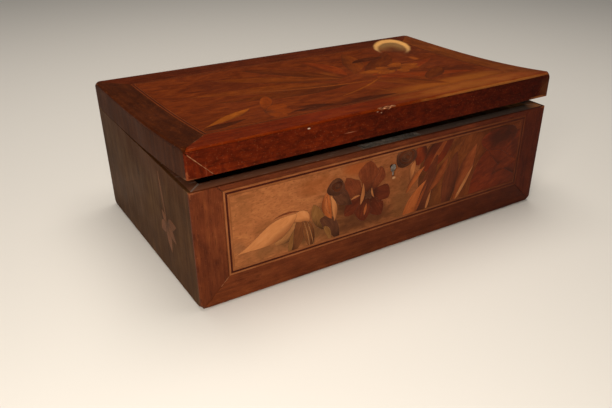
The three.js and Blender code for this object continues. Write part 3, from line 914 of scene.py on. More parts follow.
# Saws figures into a ground, the last figure on top, and joins all into one flush panel
def inlay(ground, plane, faceAt, backAt, groundAxis, groundWood, figures):
    inward = 1 if backAt > faceAt else -1
    low, high = min(faceAt, backAt) - inlayCut["overrun"], max(faceAt, backAt) + inlayCut["overrun"]
    pieces = []
    for figure in reversed(figures):
        outline = figure["outline"]
        piece = addOutline("inlay", plane, outline, low, high)
        combine(piece, ground, "INTERSECT", keepOther=True)
        sawCut = addOutline("sawCut", plane, grown(outline, inlayCut["kerf"]), low, high)
        combine(ground, sawCut, "DIFFERENCE")
        if not piece.data.polygons:
            bpy.data.objects.remove(piece)
            continue
        piece.data.materials.clear()
        piece.data.materials.append(inlayWoods[figure["wood"]])
        piece.data.materials.append(glueLine)
        easeFace(piece, plane, faceAt, inward)
        layGrain(piece, {"xz": "x", "yz": "y", "xy": "x"}[plane], turn=figure["turn"])
        layScorch(piece, plane, outline, figure["scorch"])
        pieces.append(piece)
    ground.data.materials.clear()
    ground.data.materials.append(groundWood)
    layGrain(ground, groundAxis, shift=(35, 20))
    layScorch(ground, plane, [], None)
    return joinPieces(ground.name, [ground] + pieces)


# Figures of the front panel, by x and z: a folded leaf, a bud, a flower in the middle, blades to the right
def frontFigures():
    budRings = ((9.2, 7.4), (7.2, 5.6), (4.6, 3.6), (2.2, 1.8))
    petals = [
        ((-21, 50), (-34, 52), (-40, 67), 13, 120), ((-21, 50), (-12, 60), (-11.5, 69), 11, 70),
        ((-22, 51), (-23, 64), (-20, 75), 15.5, 95), ((-21, 49), (-33, 47), (-41, 38), 12, 205),
        ((-20, 49), (-15, 40), (-9.5, 31), 11.5, 300), ((-19, 49), (-10, 52), (-3.6, 43), 12.5, 350),
        ((-21, 50), (-27, 41), (-24.5, 30), 13, 260),
    ]
    return [
        # Dim burr and broad leaves behind the blades
        leaf("dimBurr", 60, 200, (34, 16), (44, 52), (58, 84), 30, 0.6, 18, 16),
        leaf("dimBurr", 70, 30, (70, 14), (84, 50), (96, 86), 34, 0.5, 22, 22),
        leaf("redBurr", 20, 300, (86, 12), (104, 40), (138, 62), 34, 0.5, 24, 18),
        blob("redBurr", 15, 60, (103, 65), (18, 11), 3, 0.12, 40),
        leaf("redBurr", 150, 240, (92, 58), (110, 50), (127, 30), 11, 0.5),
        leaf("redBurr", 10, 250, (99, 36), (112, 46), (124, 43), 9, 0.6, blunt=0.7),
        leaf("greenBurr", 80, 250, (-66, 54), (-63, 44), (-58, 33), 9, 0.5, blunt=0.7),
        # Blades
        leaf("redBurr", 48, 140, (28, 56), (38, 68), (54, 80), 13, 0.5, 4, 6),
        leaf("dimBlade", 50, None, (34, 60), (42, 69), (49, 79), 3, 0.4, 1, 2),
        leaf("bandWood", 66, 200, (27, 22), (31, 44), (40, 66), 9, 0.45, 7, 1),
        leaf("bandWood", 80, 340, (52, 22), (54, 42), (59, 64), 10, 0.55, 8, 1),
        leaf("dimBlade", 55, 150, (32, 36), (43, 46), (50.6, 62), 7.5, 0.6, 1),
        leaf("paleWood", 72, None, (32, 22), (34, 30), (36.6, 39), 2.2, 0.5, 0.6),
        leaf("bladeWood", 55, 150, (12.6, 42), (18.5, 53), (29, 60), 4.2, 0.5, 1),
        leaf("bladeWood", 62, 330, (15.4, 19), (17, 36), (31.6, 48.5), 3.6, 0.45, 11.5),
        leaf("dimBlade", 60, None, (22.5, 23), (26, 35), (33, 46), 2.6, 0.5, 0.5),
        leaf("dimBlade", 62, 160, (59.6, 20.5), (66, 42), (79, 67), 12.5, 0.6, 1),
        leaf("paleWood", 50, None, (60, 21), (68, 34), (78, 50), 3, 0.55, 0.8),
        # Round bud beside the keyhole, with its sepal and stalk
        leaf("paleWood", 80, 200, (15.6, 50.5), (15.6, 58), (19.5, 67), 4.8, 0.55),
        leaf("redBurr", 80, 20, (21, 62), (25, 70), (24, 79), 9, 0.5, 2, 3),
        *[blob(("capWood", "oliveBurr")[i % 2], 30, 230, (10.4 + 0.4 * i, 70.6), ring, 3, 0.06, 30 * i)
          for i, ring in enumerate(budRings)],
        # Flower in the middle
        *[leaf("petalWood" if tip[1] > 60 else "petalDark", angle, angle + 180, root, middle, tip, width,
               0.62, blunt=0.6, waves=2) for root, middle, tip, width, angle in petals],
        blob("capWood", 20, None, (-21, 49.5), (3.4, 3), 5, 0.25, 10),
        leaf("paleWood", 84, None, (-28, 43.5), (-25.2, 51), (-26, 60), 3.2, 0.45),
        leaf("paleWood", 100, None, (-16, 46), (-19, 50), (-18.5, 55), 1.6, 0.5),
        leaf("bladeWood", 85, None, (-24.6, 34), (-23.5, 39), (-22.6, 44), 2.2, 0.5),
        leaf("paleWood", 10, None, (-37, 49), (-32, 51.5), (-28, 51), 1.8, 0.5),
        # Bud: a striped and a pale petal under a dark cap
        leaf("capWood", 120, 300, (-61, 41), (-52, 39), (-47, 24), 8, 0.45, 1, 4),
        leaf("greenBurr", 110, None, (-58, 35), (-54, 32), (-53, 24), 3, 0.45, 1, 2),
        leaf("capWood", 130, 320, (-50, 61), (-44, 53), (-35, 46), 9, 0.45, 3),
        leaf("bladeWood", 98, 180, (-51.6, 39.5), (-58.6, 50), (-54.8, 60.5), 7.6, 0.5, blunt=0.8),
        leaf("stripeWood", 94, None, (-53.4, 44), (-57.6, 51), (-55.2, 58), 2.0, 0.5),
        leaf("satinwood", 95, 350, (-49.6, 36.5), (-47.4, 47), (-52.8, 57.5), 4.2, 0.5),
        blob("capWood", 60, 240, (-48.2, 62), (7.0, 6.2), 3, 0.08, 80),
        blob("oliveBurr", 60, 60, (-47.4, 62.4), (4.4, 3.8), 3, 0.08, 40),
        blob("capWood", 60, 240, (-47.0, 62.6), (2.0, 1.7)),
        # Folded leaf, its shaded underside and two stalks
        leaf("greyWood", 40, 300, (-96, 33), (-86, 37), (-77, 46), 9, 0.55, 3, 6),
        leaf("greenBurr", 70, 20, (-84, 23), (-79, 32), (-76, 45), 7, 0.45, 4, 2),
        leaf("wedgeWood", 75, 200, (-83, 22), (-75, 33), (-76.4, 46.5), 5.2, 0.6, 2.5, 5),
        leaf("wedgeWood", 98, 350, (-68, 22), (-69, 34), (-73, 45.5), 5.2, 0.55, 3.6, 3),
        leaf("greyWood", 100, None, (-69.2, 23), (-70.2, 34), (-74, 44.5), 0.6, 0.5, 0.5, 0.4),
        leaf("greyWood", 100, None, (-66.2, 23.6), (-67.6, 33), (-71, 43), 0.5, 0.5, 0.4, 0.3),
        leaf("petalWood", 5, None, (-97, 50.8), (-87, 55.2), (-76, 51.6), 1.2, 0.55),
        leaf("satinwood", 130, 260, (-84, 46), (-72.5, 51.5), (-69.6, 41.8), 7.4, 0.5, 2.6),
        leaf("satinwood", 28, 300, (-124, 33.2), (-99, 38), (-79, 50.6), 13.5, 0.62, 0.2, 1.5),
    ]


keyholeSizes = {"height": 64.8, "radius": 3.0, "slotWidth": 2.6, "slotDrop": 6.3}


def buildFrontPanel():
    ground = addOutline(
        "front_marquetry", "xz",
        rectangle(panelLow.x, panelHigh.x, panelLow.z, panelHigh.z), front, panelHigh.y,
    )
    key = keyholeSizes
    eye = roundShape((0, key["height"]), (key["radius"], key["radius"]))
    combine(ground, addOutline("keyCut", "xz", eye, front - 2, front + 4), "DIFFERENCE")
    slotHalf, slotLow = key["slotWidth"] / 2, key["height"] - key["slotDrop"]
    slot = addBlock("slotCut", (-slotHalf, slotHalf), (front - 2, front + 4), (slotLow, key["height"]))
    combine(ground, slot, "DIFFERENCE")
    panel = inlay(ground, "xz", front, panelHigh.y, "x", inlayWoods["burr"], frontFigures())
    finishPiece(panel, "case", "front_marquetry", None, "front_marquetry_panel")


# Figures of the lid, by x and y: a spray of leaves and a pale flower head, close in tone to their ground
def lidFigures():
    spray = [
        ((10, -6), (-30, 22), (-76, 44), 17, 0.5, 155), ((14, -2), (-8, 32), (-44, 58), 15, 0.55, 130),
        ((22, 2), (24, 32), (8, 58), 15, 0.5, 100), ((30, 2), (52, 30), (56, 60), 17, 0.55, 65),
        ((36, -2), (74, 18), (92, 46), 17, 0.5, 40), ((38, -10), (82, -4), (118, 12), 17, 0.5, 10),
        ((4, -14), (-44, 0), (-106, 14), 18, 0.5, 175), ((8, -20), (-40, -22), (-98, -8), 14, 0.45, 190),
        ((38, -16), (78, -26), (112, -44), 19, 0.5, 335), ((30, -24), (56, -44), (70, -64), 15, 0.5, 310),
    ]
    kinds = ("lidLeaf", "lidLeafDark", "lidLeafWarm")
    headPetals = []
    for i in range(7):
        angle = math.radians(i * 360 / 7 + 12)
        reach = 34 if i % 2 else 27
        tip = (66 + reach * math.cos(angle), -2 + reach * 0.42 * math.sin(angle))
        bend = (66 + 0.5 * reach * math.cos(angle + 0.35), -2 + 0.5 * reach * 0.42 * math.sin(angle + 0.35))
        turn = math.degrees(angle)
        headPetals.append(leaf("lidPale", turn, turn + 180, (66, -2), bend, tip, 12, 0.62, blunt=0.7,
                               waves=1))
    bluntPetals = []
    for tip, width in (((-58, -12), 9), ((-57, -38), 13), ((-61, -58), 14), ((-71, -67), 10)):
        middle = ((tip[0] - 77) / 2 + 2, (tip[1] - 48) / 2)
        angle = math.degrees(math.atan2(tip[1] + 48, tip[0] + 77))
        bluntPetals.append(leaf("lidBloom", angle, angle + 180, (-77, -48), middle, tip, width, 0.62,
                                blunt=0.7))
    return [
        # Long leaves that run out from the middle
        *[leaf(kinds[i % 3], angle, angle + 90, root, middle, tip, width, fullest, 2, 0.3, waves=1)
          for i, (root, middle, tip, width, fullest, angle) in enumerate(spray)],
        # Dark shadows near the front and at the right
        leaf("lidShadow", 5, 270, (-30, -66), (-4, -60), (22, -65), 8, 0.5),
        leaf("lidShadow", 160, 250, (-54, -52), (-42, -56), (-30, -60), 8, 0.5, blunt=0.7),
        leaf("lidLeafDark", 30, 300, (66, -42), (84, -34), (100, -18), 13, 0.5, blunt=0.8),
        leaf("lidShadow", 12, 270, (-125, -61.5), (-110, -59), (-92, -54), 7, 0.35, 2.4),
        leaf("lidShadow", 10, 80, (46, 30), (62, 36), (80, 34), 9, 0.5, blunt=0.8),
        # Stalk across the field
        leaf("lidPale", 160, None, (-62, 2), (-20, -18), (34, -22), 1.6, 0.5, 0.9, 0.9, steps=20),
        leaf("lidPale", 30, None, (-14, -46), (16, -36), (42, -16), 1.5, 0.5, 0.9, 0.9),
        *headPetals,
        blob("lidLeafDark", 30, 200, (66, -2), (6, 3.4), 5, 0.2),
        # Pointed leaf and a blunt flower near the front left
        leaf("lidShadow", 5, 270, (-62, -58), (-48, -62), (-34, -56), 7, 0.5),
        leaf("lidLeafPale", 33, 300, (-124, -57), (-104, -47), (-80, -33), 9, 0.6),
        *bluntPetals,
        # Thin pale lines
        leaf("lidPale", 100, None, (51.6, -8.6), (70.4, -35.3), (64, -48.8), 1.0, 0.5, 0.2, 0.2),
        leaf("lidPale", 120, None, (10.3, -36.6), (20.4, -46.6), (21.7, -57.8), 1.0, 0.5, 0.2, 0.2),
    ]


def buildLidField():
    low, high = lidSkinDepth
    ground = addOutline(
        "lid_marquetry", "xy", rectangle(fieldLow.x, fieldHigh.x, fieldLow.y, fieldHigh.y), low, high,
    )
    field = inlay(ground, "xy", high, low, "x", inlayWoods["lidBurr"], lidFigures())
    liftWithLid(field)
    finishPiece(field, "lid", "lid_marquetry", None, "lid_marquetry_field")


# A hanging flower with pointed petals on each end of the case, by y and z
def endFigures(drop):
    heart = (-44, 42)
    figures = [leaf("endWood", 95, None, (-38, 78), (-40, 62), (-43, 46), 1.6, 0.5, 1.2, 1.2)]
    for tip, width in drop:
        middle = ((tip[0] + heart[0]) / 2 + 1.5, (tip[1] + heart[1]) / 2)
        angle = math.degrees(math.atan2(tip[1] - heart[1], tip[0] - heart[0]))
        figures.append(leaf("endWood", angle, angle + 180, heart, middle, tip, width, 0.45))
    return figures


# A frame of thin strips, from the outer line inwards: each line's width and wood
stringing = {
    "front": [(1.2, "lightLine"), (1.3, "darkLine"), (1.4, "lightLine")],
    "lid": [(0.8, "lidLine"), (1.2, "lidDarkLine"), (0.85, "lidLine")],
    "joint": 0.05,
    "gap": 0.04,
}


def buildStringing(name, plane, outer, lines, depth, body, node):
    parts = []
    for width, wood in lines:
        inner = [edge + shift for edge, shift in zip(outer, (width, -width, width, -width))]
        for run, outline in mitredStrips(outer, inner, stringing["joint"]):
            strip = addOutline("strip", plane, outline, *depth)
            strip.data.materials.append(inlayWoods[wood])
            layGrain(strip, "x" if run == "along" else plane.strip("x"))
            layScorch(strip, plane, [], None)
            parts.append(strip)
        gap = stringing["gap"]
        outer = [edge + shift for edge, shift in zip(inner, (gap, -gap, gap, -gap))]
    lines = joinPieces(name, parts)
    if body == "lid":
        liftWithLid(lines)
    finishPiece(lines, body, "stringing", None, node)


# Broad smoky places in the two grounds, and a painted shadow at the keyhole: centre, reach each way, strength
# and tone
frontPatches = onFront([
    (-70, 33, 34, 10, 0.75, "#5c3c20"), (-100, 30, 22, 8, 0.4, "#6e4a2a"),
    (-40, 42, 24, 22, 0.5, "#5a3418"), (-43, 46, 9, 9, 0.85, "#452411"), (-62, 67, 20, 8, 0.4, "#944c20"),
    (-21, 50, 21, 22, 0.5, "#5e331a"), (-63, 44, 8, 13, 0.6, "#5e3c22"), (-121, 38, 6, 6, 0.45, "#6a452c"),
    # The near black patch at the keyhole's upper left is a painted shadow of the hole's edge; the pale one
    # below the slot is wear
    (0.3, 57.4, 1.8, 1.2, 0.8, "#c4956a"), (-2.3, 66.6, 2.0, 2.4, 0.97, "#140a06"),
    (-25, 32, 34, 12, 0.8, "#4c2814"), (-32, 72, 16, 7, 0.6, "#9c4a1c"), (8, 36, 12, 22, 0.5, "#63401f"),
    (-118, 64, 10, 14, 0.3, "#7a4c28"), (24, 70, 18, 12, 0.5, "#5a3014"),
])
cloudPatches = onFront([
    (104, 67, 20, 11, 0.8, "#34170c"), (122, 58, 10, 12, 0.5, "#3a1a0e"), (44, 72, 26, 8, 0.45, "#3e1c0e"),
    (112, 50, 36, 28, 0.32, "#3c1a0c"),
])
lidPatches = onLid([
    (100, -32, 34, 15, 0.55, "#42190a"), (112, 40, 26, 20, 0.4, "#482010"),
    (-20, -60, 46, 8, 0.6, "#3c1404"), (-70, 30, 40, 26, 0.35, "#46180a"),
    (60, -4, 44, 14, 0.45, "#7c3d16"), (20, -30, 50, 12, 0.35, "#7a3210"),
    (64, -62, 66, 15, 0.7, "#9a5216"), (104, -60, 30, 14, 0.5, "#96541a"), (101, 16, 4, 9, 0.6, "#a4541c"),
    (8, 8, 9, 16, 0.5, "#8c4a18"), (110, 8.5, 3.2, 0.9, 0.7, "#a8683a"), (92, -28, 9, 12, 0.6, "#3c1a0c"),
])
linePatches = onLid([(78, -66, 96, 14, 0.75, "#8c4a1a")])


# The carcase keeps its own boards, in bare wood
def finishBoards():
    for body, rest in (("case", ("front", "back", "left", "right", "bottom")),
                       ("lid", ("front", "back", "left", "right", "top"))):
        for where in rest:
            along = "y" if where in ("left", "right") else "x"
            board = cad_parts[body + "_" + where + "_board"]
            for socket in board.material_slots:
                socket.material = bareWoodFor[along]
            if not board.material_slots:
                board.data.materials.append(bareWoodFor[along])


# Pale dust and old filler in the open mitres: how wide, how far below the face, and how deep
openMitres = {"width": 0.8, "sunk": 0.04, "depth": 0.8}


# Fills part of a mitre: share is where along the line from start to end the filler lies
def fillMitre(name, body, plane, start, end, share, faceAt, inward):
    start, end = Vector(start), Vector(end)
    start, end = start.lerp(end, share[0]), start.lerp(end, share[1])
    run = (end - start).normalized()
    across = Vector((-run.y, run.x)) * openMitres["width"] / 2
    outer = faceAt + inward * openMitres["sunk"]
    inner = faceAt + inward * openMitres["depth"]
    outline = [start + across, start - across, end - across, end + across]
    piece = addOutline(name, plane, outline, min(outer, inner), max(outer, inner))
    if body == "lid":
        liftWithLid(piece)
    finishPiece(piece, body, "mahogany_banding", [paleFiller])


def fillMitres():
    ringX = ringHigh.x + boxSizes["joint"]
    mitreX = frameX + lidBase - frameHigh.z
    for name, body, plane, start, end, share, faceAt, inward in (
        ("foot_mitre_left", "case", "xz", (-frameX, frameLow.z), (-side, 0), (0.02, 0.3), front, 1),
        ("face_mitre_left", "lid", "xz", (-mitreX, lidBase), (-side, lidTop), (0.05, 0.9), front, 1),
        ("top_mitre_front_left", "lid", "xy", (-ringX, ringLow.y), (-side, front), (0.04, 0.62), boxTop, -1),
        ("top_mitre_back_left", "lid", "xy", (-ringX, ringHigh.y), (-side, back), (0.1, 0.4), boxTop, -1),
    ):
        fillMitre(name, body, plane, start, end, share, faceAt, inward)


# A countersunk screw with a straight slot, and the hole that it sits in. It faces along an axis.
screwSizes = {
    "clear": 0.1, "sink": 0.5, "slot": 0.42, "slotDepth": 0.35, "below": 0.06,
    "sides": 28, "taper": 0.5, "head": 0.9, "easing": 0.12,
}


def turnToFace(piece, facing, at):
    piece.rotation_euler.x = {"up": 0, "down": math.pi}[facing]
    piece.location = Vector(at) * mm
    settle(piece)
    return piece


def addScrew(ground, at, radius, facing, metal):
    screw = screwSizes
    slotTurn = random.uniform(0, 180)
    clearSelection()
    bpy.ops.mesh.primitive_cone_add(vertices=screw["sides"], radius1=(radius - screw["taper"]) * mm,
                                    radius2=(radius + screw["clear"]) * mm, depth=2 * screw["sink"] * mm)
    combine(ground, turnToFace(bpy.context.object, facing, at), "DIFFERENCE")
    clearSelection()
    bpy.ops.mesh.primitive_cylinder_add(vertices=screw["sides"], radius=radius * mm, depth=screw["head"] * mm,
                                        location=(0, 0, -(screw["head"] / 2 + screw["below"]) * mm))
    head = bpy.context.object
    settle(head)
    applyModifier(head, "BEVEL", width=screw["easing"] * mm, segments=2, limit_method="ANGLE")
    slot = addBlock("screwSlot", (-radius - 1, radius + 1), (-screw["slot"] / 2, screw["slot"] / 2),
                    (-screw["slotDepth"] - screw["below"], 1))
    slot.rotation_euler.z = math.radians(slotTurn)
    settle(slot)
    combine(head, slot, "DIFFERENCE")
    head.data.materials.append(metal)
    return turnToFace(head, facing, at)


# A node's own shape, welded and with its arrises eased, to cut screws into
def copyOfNode(node, easing):
    clearSelection()
    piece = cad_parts[node].copy()
    piece.data = piece.data.copy()
    bpy.context.collection.objects.link(piece)
    openMesh(piece)
    bpy.ops.mesh.remove_doubles(threshold=0.01 * mm)
    bpy.ops.mesh.dissolve_limited(angle_limit=math.radians(2))
    closeMesh()
    piece.data.materials.clear()
    if easing:
        applyModifier(piece, "BEVEL", width=easing * mm, segments=2, limit_method="ANGLE",
                      angle_limit=math.radians(50))
    return piece


# Small brass butt hinges: each leaf has three screws


def buildHinges():
    for hand in ("left", "right"):
        for body, facing in (("case", "up"), ("lid", "down")):
            node = "hinge_" + body + "_leaf_" + hand
            low, high = boxInMm(node)
            plate = copyOfNode(node, 0)
            plate.data.materials.append(tarnishedBrass)
            level = caseTop if body == "case" else lidBase
            screws = []
            for step in (-1, 0, 1):
                x = (low.x + high.x) / 2 + step * hingeSizes["screwStep"]
                at = (x, back - hingeSizes["screwsIn"], level)
                screws.append(addScrew(plate, at, hingeSizes["screwRadius"], facing, tarnishedBrass))
            plate = joinPieces("butt_" + body + "_leaf_" + hand, [plate] + screws)
            finishPiece(plate, body, "hinge_brass", None, node)
        pin = copyOfNode("hinge_pin_" + hand, hingeSizes["pinEasing"])
        pin.data.materials.append(tarnishedBrass)
        pin.name = "butt_pin_" + hand
        finishPiece(pin, "case", "hinge_brass", None, "hinge_pin_" + hand)


# The lock: its selvedge in the rim, its cap plate inside the box, and the strike plate in the lid
lockSizes = {
    "selvedgeAt": 3, "selvedgeWidth": 6.5, "selvedgeThick": 1.3, "bodyWidth": 38,
    "screwRadius": 1.7, "screwsAt": 20.5,
    "capMargin": 1.4, "capThick": 0.5, "capSunk": 0.2, "capEasing": 0.4,
    "rivetRadius": 1.1, "rivetFlat": 0.45, "rivetsIn": (2.8, 2.6),
    "pinRadius": 1.15, "pinLength": 4, "pinAt": 3.1, "pinEasing": 0.2,
    "strikeThick": 1.3, "boltSlot": (6, 1.3), "boltSlotBack": 0.8,
}


# A steel piece made by the last operator, put in its place with its edges eased
def steelPart(easing=None, at=(0, 0, 0)):
    part = bpy.context.object
    part.location = Vector(at) * mm
    settle(part)
    if easing:
        applyModifier(part, "BEVEL", width=easing * mm, segments=2, limit_method="ANGLE")
    part.data.materials.append(rustedSteel)
    return part


def buildLock():
    sizes = lockSizes
    low, high = boxInMm("lock")
    lock = copyOfNode("lock", 0)
    lock.data.materials.append(rustedSteel)
    parts = []
    for sign in (-1, 1):
        at = (sign * sizes["screwsAt"], front + sizes["selvedgeAt"] + sizes["selvedgeWidth"] / 2, caseTop)
        parts.append(addScrew(lock, at, sizes["screwRadius"], "up", rustedSteel))
    half = sizes["bodyWidth"] / 2 - sizes["capMargin"]
    capLow, capHigh = low.z + sizes["capMargin"], caseTop - sizes["selvedgeThick"] - sizes["capMargin"]
    addBlock("cap", (-half, half), (high.y - sizes["capSunk"], high.y + sizes["capThick"]), (capLow, capHigh))
    parts.append(steelPart(sizes["capEasing"]))
    inX, inZ = sizes["rivetsIn"]
    for x in (inX - half, half - inX):
        for z in (capLow + inZ, capHigh - inZ):
            clearSelection()
            bpy.ops.mesh.primitive_uv_sphere_add(segments=20, ring_count=10, radius=sizes["rivetRadius"] * mm)
            bpy.context.object.scale.y = sizes["rivetFlat"]
            parts.append(steelPart(at=(x, high.y + sizes["capThick"], z)))
    clearSelection()
    bpy.ops.mesh.primitive_cylinder_add(
        vertices=24, radius=sizes["pinRadius"] * mm, depth=sizes["pinLength"] * mm,
        rotation=(math.pi / 2, 0, 0),
    )
    parts.append(steelPart(sizes["pinEasing"], (0, front + sizes["pinAt"], keyholeSizes["height"])))
    finishPiece(joinPieces("box_lock", [lock] + parts), "case", "lock_steel", None, "lock")

    low, high = boxInMm("lid_strike_plate")
    thick = (lidBase, lidBase + sizes["strikeThick"])
    strike = addBlock("strike_plate", (low.x, high.x), (low.y, high.y), thick)
    strike.data.materials.append(rustedSteel)
    middle = (low.y + high.y) / 2
    reach, half = sizes["boltSlot"]
    slotMiddle = middle + sizes["boltSlotBack"]
    slotDepth = (slotMiddle - half, slotMiddle + half)
    slot = addBlock("boltSlot", (-reach, reach), slotDepth, (lidBase - 1, lidBase + 5))
    combine(strike, slot, "DIFFERENCE")
    screws = []
    for sign in (-1, 1):
        at = (sign * sizes["screwsAt"], middle, lidBase)
        screws.append(addScrew(strike, at, sizes["screwRadius"], "down", rustedSteel))
    strike = joinPieces("strike_plate", [strike] + screws)
    liftWithLid(strike)
    finishPiece(strike, "lid", "lock_steel", None, "lid_strike_plate")


inlayWoods = {}


def mixInlayWoods():
    base = {
        "mottleShare": 0.55, "pore": (5, 0.45), "figure": (26, 2.2), "mottle": (12, 6), "patina": 0.2,
        "speckle": 0.1, "wear": 0.4, "gloss": 0.42, "scorched": "#30170c", "poreColour": "#3a1c0c",
        "worn": "#b8804e", "specular": 0.06,
    }
    kinds = {
        # The front's burrs and light line are darkened towards the right as painted shade, where the key
        # light falls off
        "burr": {"tones": ("#7e4a26", "#9d5e35", "#b37040"), "figure": (9, 4.5), "mottle": (22, 13),
            "curl": 2.2, "swirl": 1.8, "pore": (2.2, 1.0), "poreDepth": 0.38, "paintedShadeToRight": (-75, 115, "#a88674"),
            "patches": frontPatches},
        "lidBurr": {"tones": ("#4a1a04", "#662808", "#80390e"), "figure": (20, 6), "mottle": (34, 15),
            "curl": 2.6, "swirl": 2.4, "poreDepth": 0.3, "patches": lidPatches, "ringStain": True},
        "dimBurr": {"tones": ("#5a2c12", "#743c18", "#8a4c22"), "figure": (10, 4), "curl": 2.0,
            "paintedShadeToRight": (40, 130, "#d8a494"), "patches": cloudPatches},
        "redBurr": {"tones": ("#541d0a", "#6e280f", "#843716"), "figure": (12, 3.5), "curl": 1.8,
            "patches": cloudPatches},
        "oliveBurr": {"tones": ("#42200f", "#582a14", "#6b391c"), "figure": (10, 3.5), "curl": 1.6},
        "greenBurr": {"tones": ("#6c4520", "#80532a", "#926536"), "figure": (10, 3.5), "curl": 1.6},
        "petalWood": {"tones": ("#592813", "#703319", "#864423"), "figure": (18, 1.6), "speckle": 0.28},
        "petalDark": {"tones": ("#46190c", "#5a2410", "#702f16"), "figure": (18, 1.6), "speckle": 0.22},
        "capWood": {"tones": ("#40241a", "#57311e", "#6c4128"), "figure": (20, 1.8)},
        "bandWood": {"tones": ("#4e2312", "#642e17", "#783b1e"), "figure": (20, 1.8)},
        "wedgeWood": {"tones": ("#5a3218", "#714021", "#84502b"), "figure": (20, 1.8)},
        "greyWood": {"tones": ("#865832", "#9e6639", "#b07848"), "figure": (24, 2.0)},
        "satinwood": {"tones": ("#ac6a3c", "#bf7a47", "#cc8a56"), "figure": (30, 1.8), "poreDepth": 0.15,
            "scorched": "#7c4422"},
        "paleWood": {"tones": ("#90552c", "#a66437", "#b57645"), "figure": (26, 1.6), "poreDepth": 0.15,
            "scorched": "#5c301a"},
        "bladeWood": {"tones": ("#864019", "#a25427", "#b26434"), "figure": (24, 1.3), "scorched": "#5a2812"},
        "dimBlade": {"tones": ("#6a3014", "#843e1b", "#974d26"), "figure": (24, 1.3), "scorched": "#451e0e"},
        "stripeWood": {"tones": ("#8c4620", "#aa5e30", "#bb6f3e"), "figure": (14, 0.9)},
        "lidLeaf": {"tones": ("#5a2406", "#72320a", "#88400f"), "figure": (32, 2.2), "curl": 0.8},
        "lidLeafWarm": {"tones": ("#602206", "#7a2e08", "#903e0e"), "figure": (30, 2.0), "curl": 0.8},
        "lidLeafDark": {"tones": ("#4a1a04", "#5e2606", "#74350a"), "figure": (28, 2.4), "curl": 0.9},
        "lidLeafPale": {"tones": ("#783a0a", "#914a10", "#a85c1a"), "figure": (24, 1.8),
            "scorched": "#5c280a"},
        "lidPale": {"tones": ("#6a2e08", "#843e0c", "#985014"), "figure": (16, 2.0), "scorched": "#522408"},
        "lidBloom": {"tones": ("#642605", "#793207", "#8c3e0b"), "figure": (20, 1.8)},
        "lidShadow": {"tones": ("#341404", "#461a06", "#60290a"), "figure": (26, 2.2)},
        "endWood": {"tones": ("#583218", "#6a3e20", "#7a4b2a"), "figure": (24, 1.4), "scorched": "#462c18",
            "specular": 0.035},
        "lightLine": {"tones": ("#7c4620", "#925630", "#a4683e"), "figure": (30, 1.5),
            "paintedShadeToRight": (-40, 130, "#a8846c")},
        "lidLine": {"tones": ("#602a10", "#723414", "#824018"), "figure": (30, 1.5), "ringStain": True,
            "patches": linePatches},
        "lidDarkLine": {"tones": ("#34130a", "#471b0a", "#5a240e"), "figure": (30, 1.5), "ringStain": True,
            "patches": linePatches},
        "darkLine": {"tones": ("#30100a", "#431609", "#551e0e"), "figure": (30, 1.5)},
    }
    for name, wood in kinds.items():
        if name.startswith("lid"):
            wood = {"scorched": "#4a1e08", **wood, "specular": 0.02}
        inlayWoods[name] = makeVeneer(name, {**base, **wood}, isInlay=True)


# Old animal glue and dirt in a joint: nearly black and dull
glueLine = setShader(startMaterial("glueLine")[0], Base_Color="#3c2214", Roughness=0.7,
                     Specular_IOR_Level=0.2)


# Dust and pale filler that has settled in an open joint
def mixPaleFiller():
    material, add = startMaterial("paleFiller")
    place = placeInMm(add)
    crumb = add("TexNoise", {"Vector": place, "Scale": 1 / 3, "Detail": 4.0})
    colour = add("ValToRGB", [crumb], stops=[(0.42, "#5a3020"), (0.62, "#9a6a48")])
    return setShader(material, Roughness=0.85, Specular_IOR_Level=0.1, Base_Color=colour)


paleFiller = mixPaleFiller()
mixInlayWoods()
buildFrontFrame()
buildEndsAndBack()
buildLidFront()
buildLidBorder()
print("veneer laid")
buildFrontPanel()
print("front panel inlaid")
buildLidField()
print("lid field inlaid")
buildStringing("front_stringing_lines", "xz", (frameLow.x, frameHigh.x, frameLow.z, frameHigh.z),
               stringing["front"], (front, frameHigh.y), "case", "front_stringing")
buildStringing("lid_stringing_lines", "xy", (ringLow.x, ringHigh.x, ringLow.y, ringHigh.y),
               stringing["lid"], lidSkinDepth, "lid", "lid_stringing")
print("stringing laid")
finishBoards()
fillMitres()
buildHinges()
buildLock()
print("hinges and lock fitted")

bpy.data.objects.remove(outerForm)


# Floor, soft light and the camera at the photo's angle
stageSizes = {
    "floor": 12,
    "floorColour": "#e2e0dc",
    "lamps": {
        "key": {"at": (-0.38, -0.47, 0.31), "aim": (-0.08, 0, 0.06), "size": 0.3,
                "power": 2.7, "colour": "#fff3e4"},
        "top": {"at": (0.05, 0.12, 1.05), "aim": (0, 0, 0.08), "size": 0.8,
                "power": 8.5, "colour": "#fff5e8"},
        "fill": {"at": (-1.2, 0.3, 0.45), "aim": (0, 0, 0.05), "size": 0.8,
                 "power": 1.4, "colour": "#f0ece4"},
    },
    "air": "#ecebe8",
    "airStrength": 0.14,
}


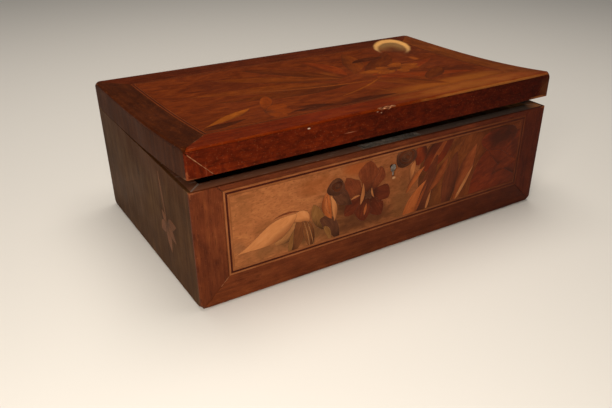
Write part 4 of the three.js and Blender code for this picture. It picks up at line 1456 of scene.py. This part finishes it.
def buildStage():
    clearSelection()
    bpy.ops.mesh.primitive_plane_add(size=stageSizes["floor"])
    floor = bpy.context.object
    floor.name = "floor"
    paint = setShader(startMaterial("paintedFloor")[0], Base_Color=stageSizes["floorColour"], Roughness=0.85,
                      Specular_IOR_Level=0.1)
    floor.data.materials.append(paint)
    for name, lamp in stageSizes["lamps"].items():
        at = Vector(lamp["at"])
        clearSelection()
        bpy.ops.object.light_add(type="AREA", location=at)
        light = bpy.context.object
        light.name = name + "_light"
        light.rotation_euler = (Vector(lamp["aim"]) - at).to_track_quat("-Z", "Y").to_euler()
        light.data.size = lamp["size"]
        light.data.energy = lamp["power"]
        light.data.color = toLinear(lamp["colour"])[:3]
        light.visible_camera = False
    world = bpy.data.worlds.new("softAir")
    world.use_nodes = True
    bpy.context.scene.world = world
    air = world.node_tree.nodes["Background"]
    air.inputs["Color"].default_value = toLinear(stageSizes["air"])
    air.inputs["Strength"].default_value = stageSizes["airStrength"]
    bpy.context.scene.view_settings.view_transform = "Standard"


# The photo's camera, fitted to the box's straight edges
photoCamera = {
    "azimuth": -33.8,
    "elevation": 30.33,
    "roll": 0.86,
    "at": (-266.8, -420.7, 252.0),
    "lens": 38.66,
    "shift": (-0.0525, 0.0610),
    "sensor": 36,
    "nearest": 0.01,
}


def buildCamera():
    clearSelection()
    bpy.ops.object.camera_add(location=Vector(photoCamera["at"]) * mm)
    camera = bpy.context.object
    camera.name = "photo_camera"
    azimuth, elevation, roll = (math.radians(photoCamera[key]) for key in ("azimuth", "elevation", "roll"))
    ahead = Vector((-math.sin(azimuth) * math.cos(elevation), math.cos(azimuth) * math.cos(elevation),
                    -math.sin(elevation)))
    right = Vector((math.cos(azimuth), math.sin(azimuth), 0))
    up = right.cross(ahead)
    rolledRight = right * math.cos(roll) + up * math.sin(roll)
    rolledUp = up * math.cos(roll) - right * math.sin(roll)
    camera.rotation_euler = Matrix((rolledRight, rolledUp, -ahead)).transposed().to_euler()
    camera.data.lens = photoCamera["lens"]
    camera.data.sensor_width = photoCamera["sensor"]
    camera.data.shift_x, camera.data.shift_y = photoCamera["shift"]
    camera.data.clip_start = photoCamera["nearest"]
    bpy.context.scene.camera = camera


buildStage()
buildCamera()
print("stage set")
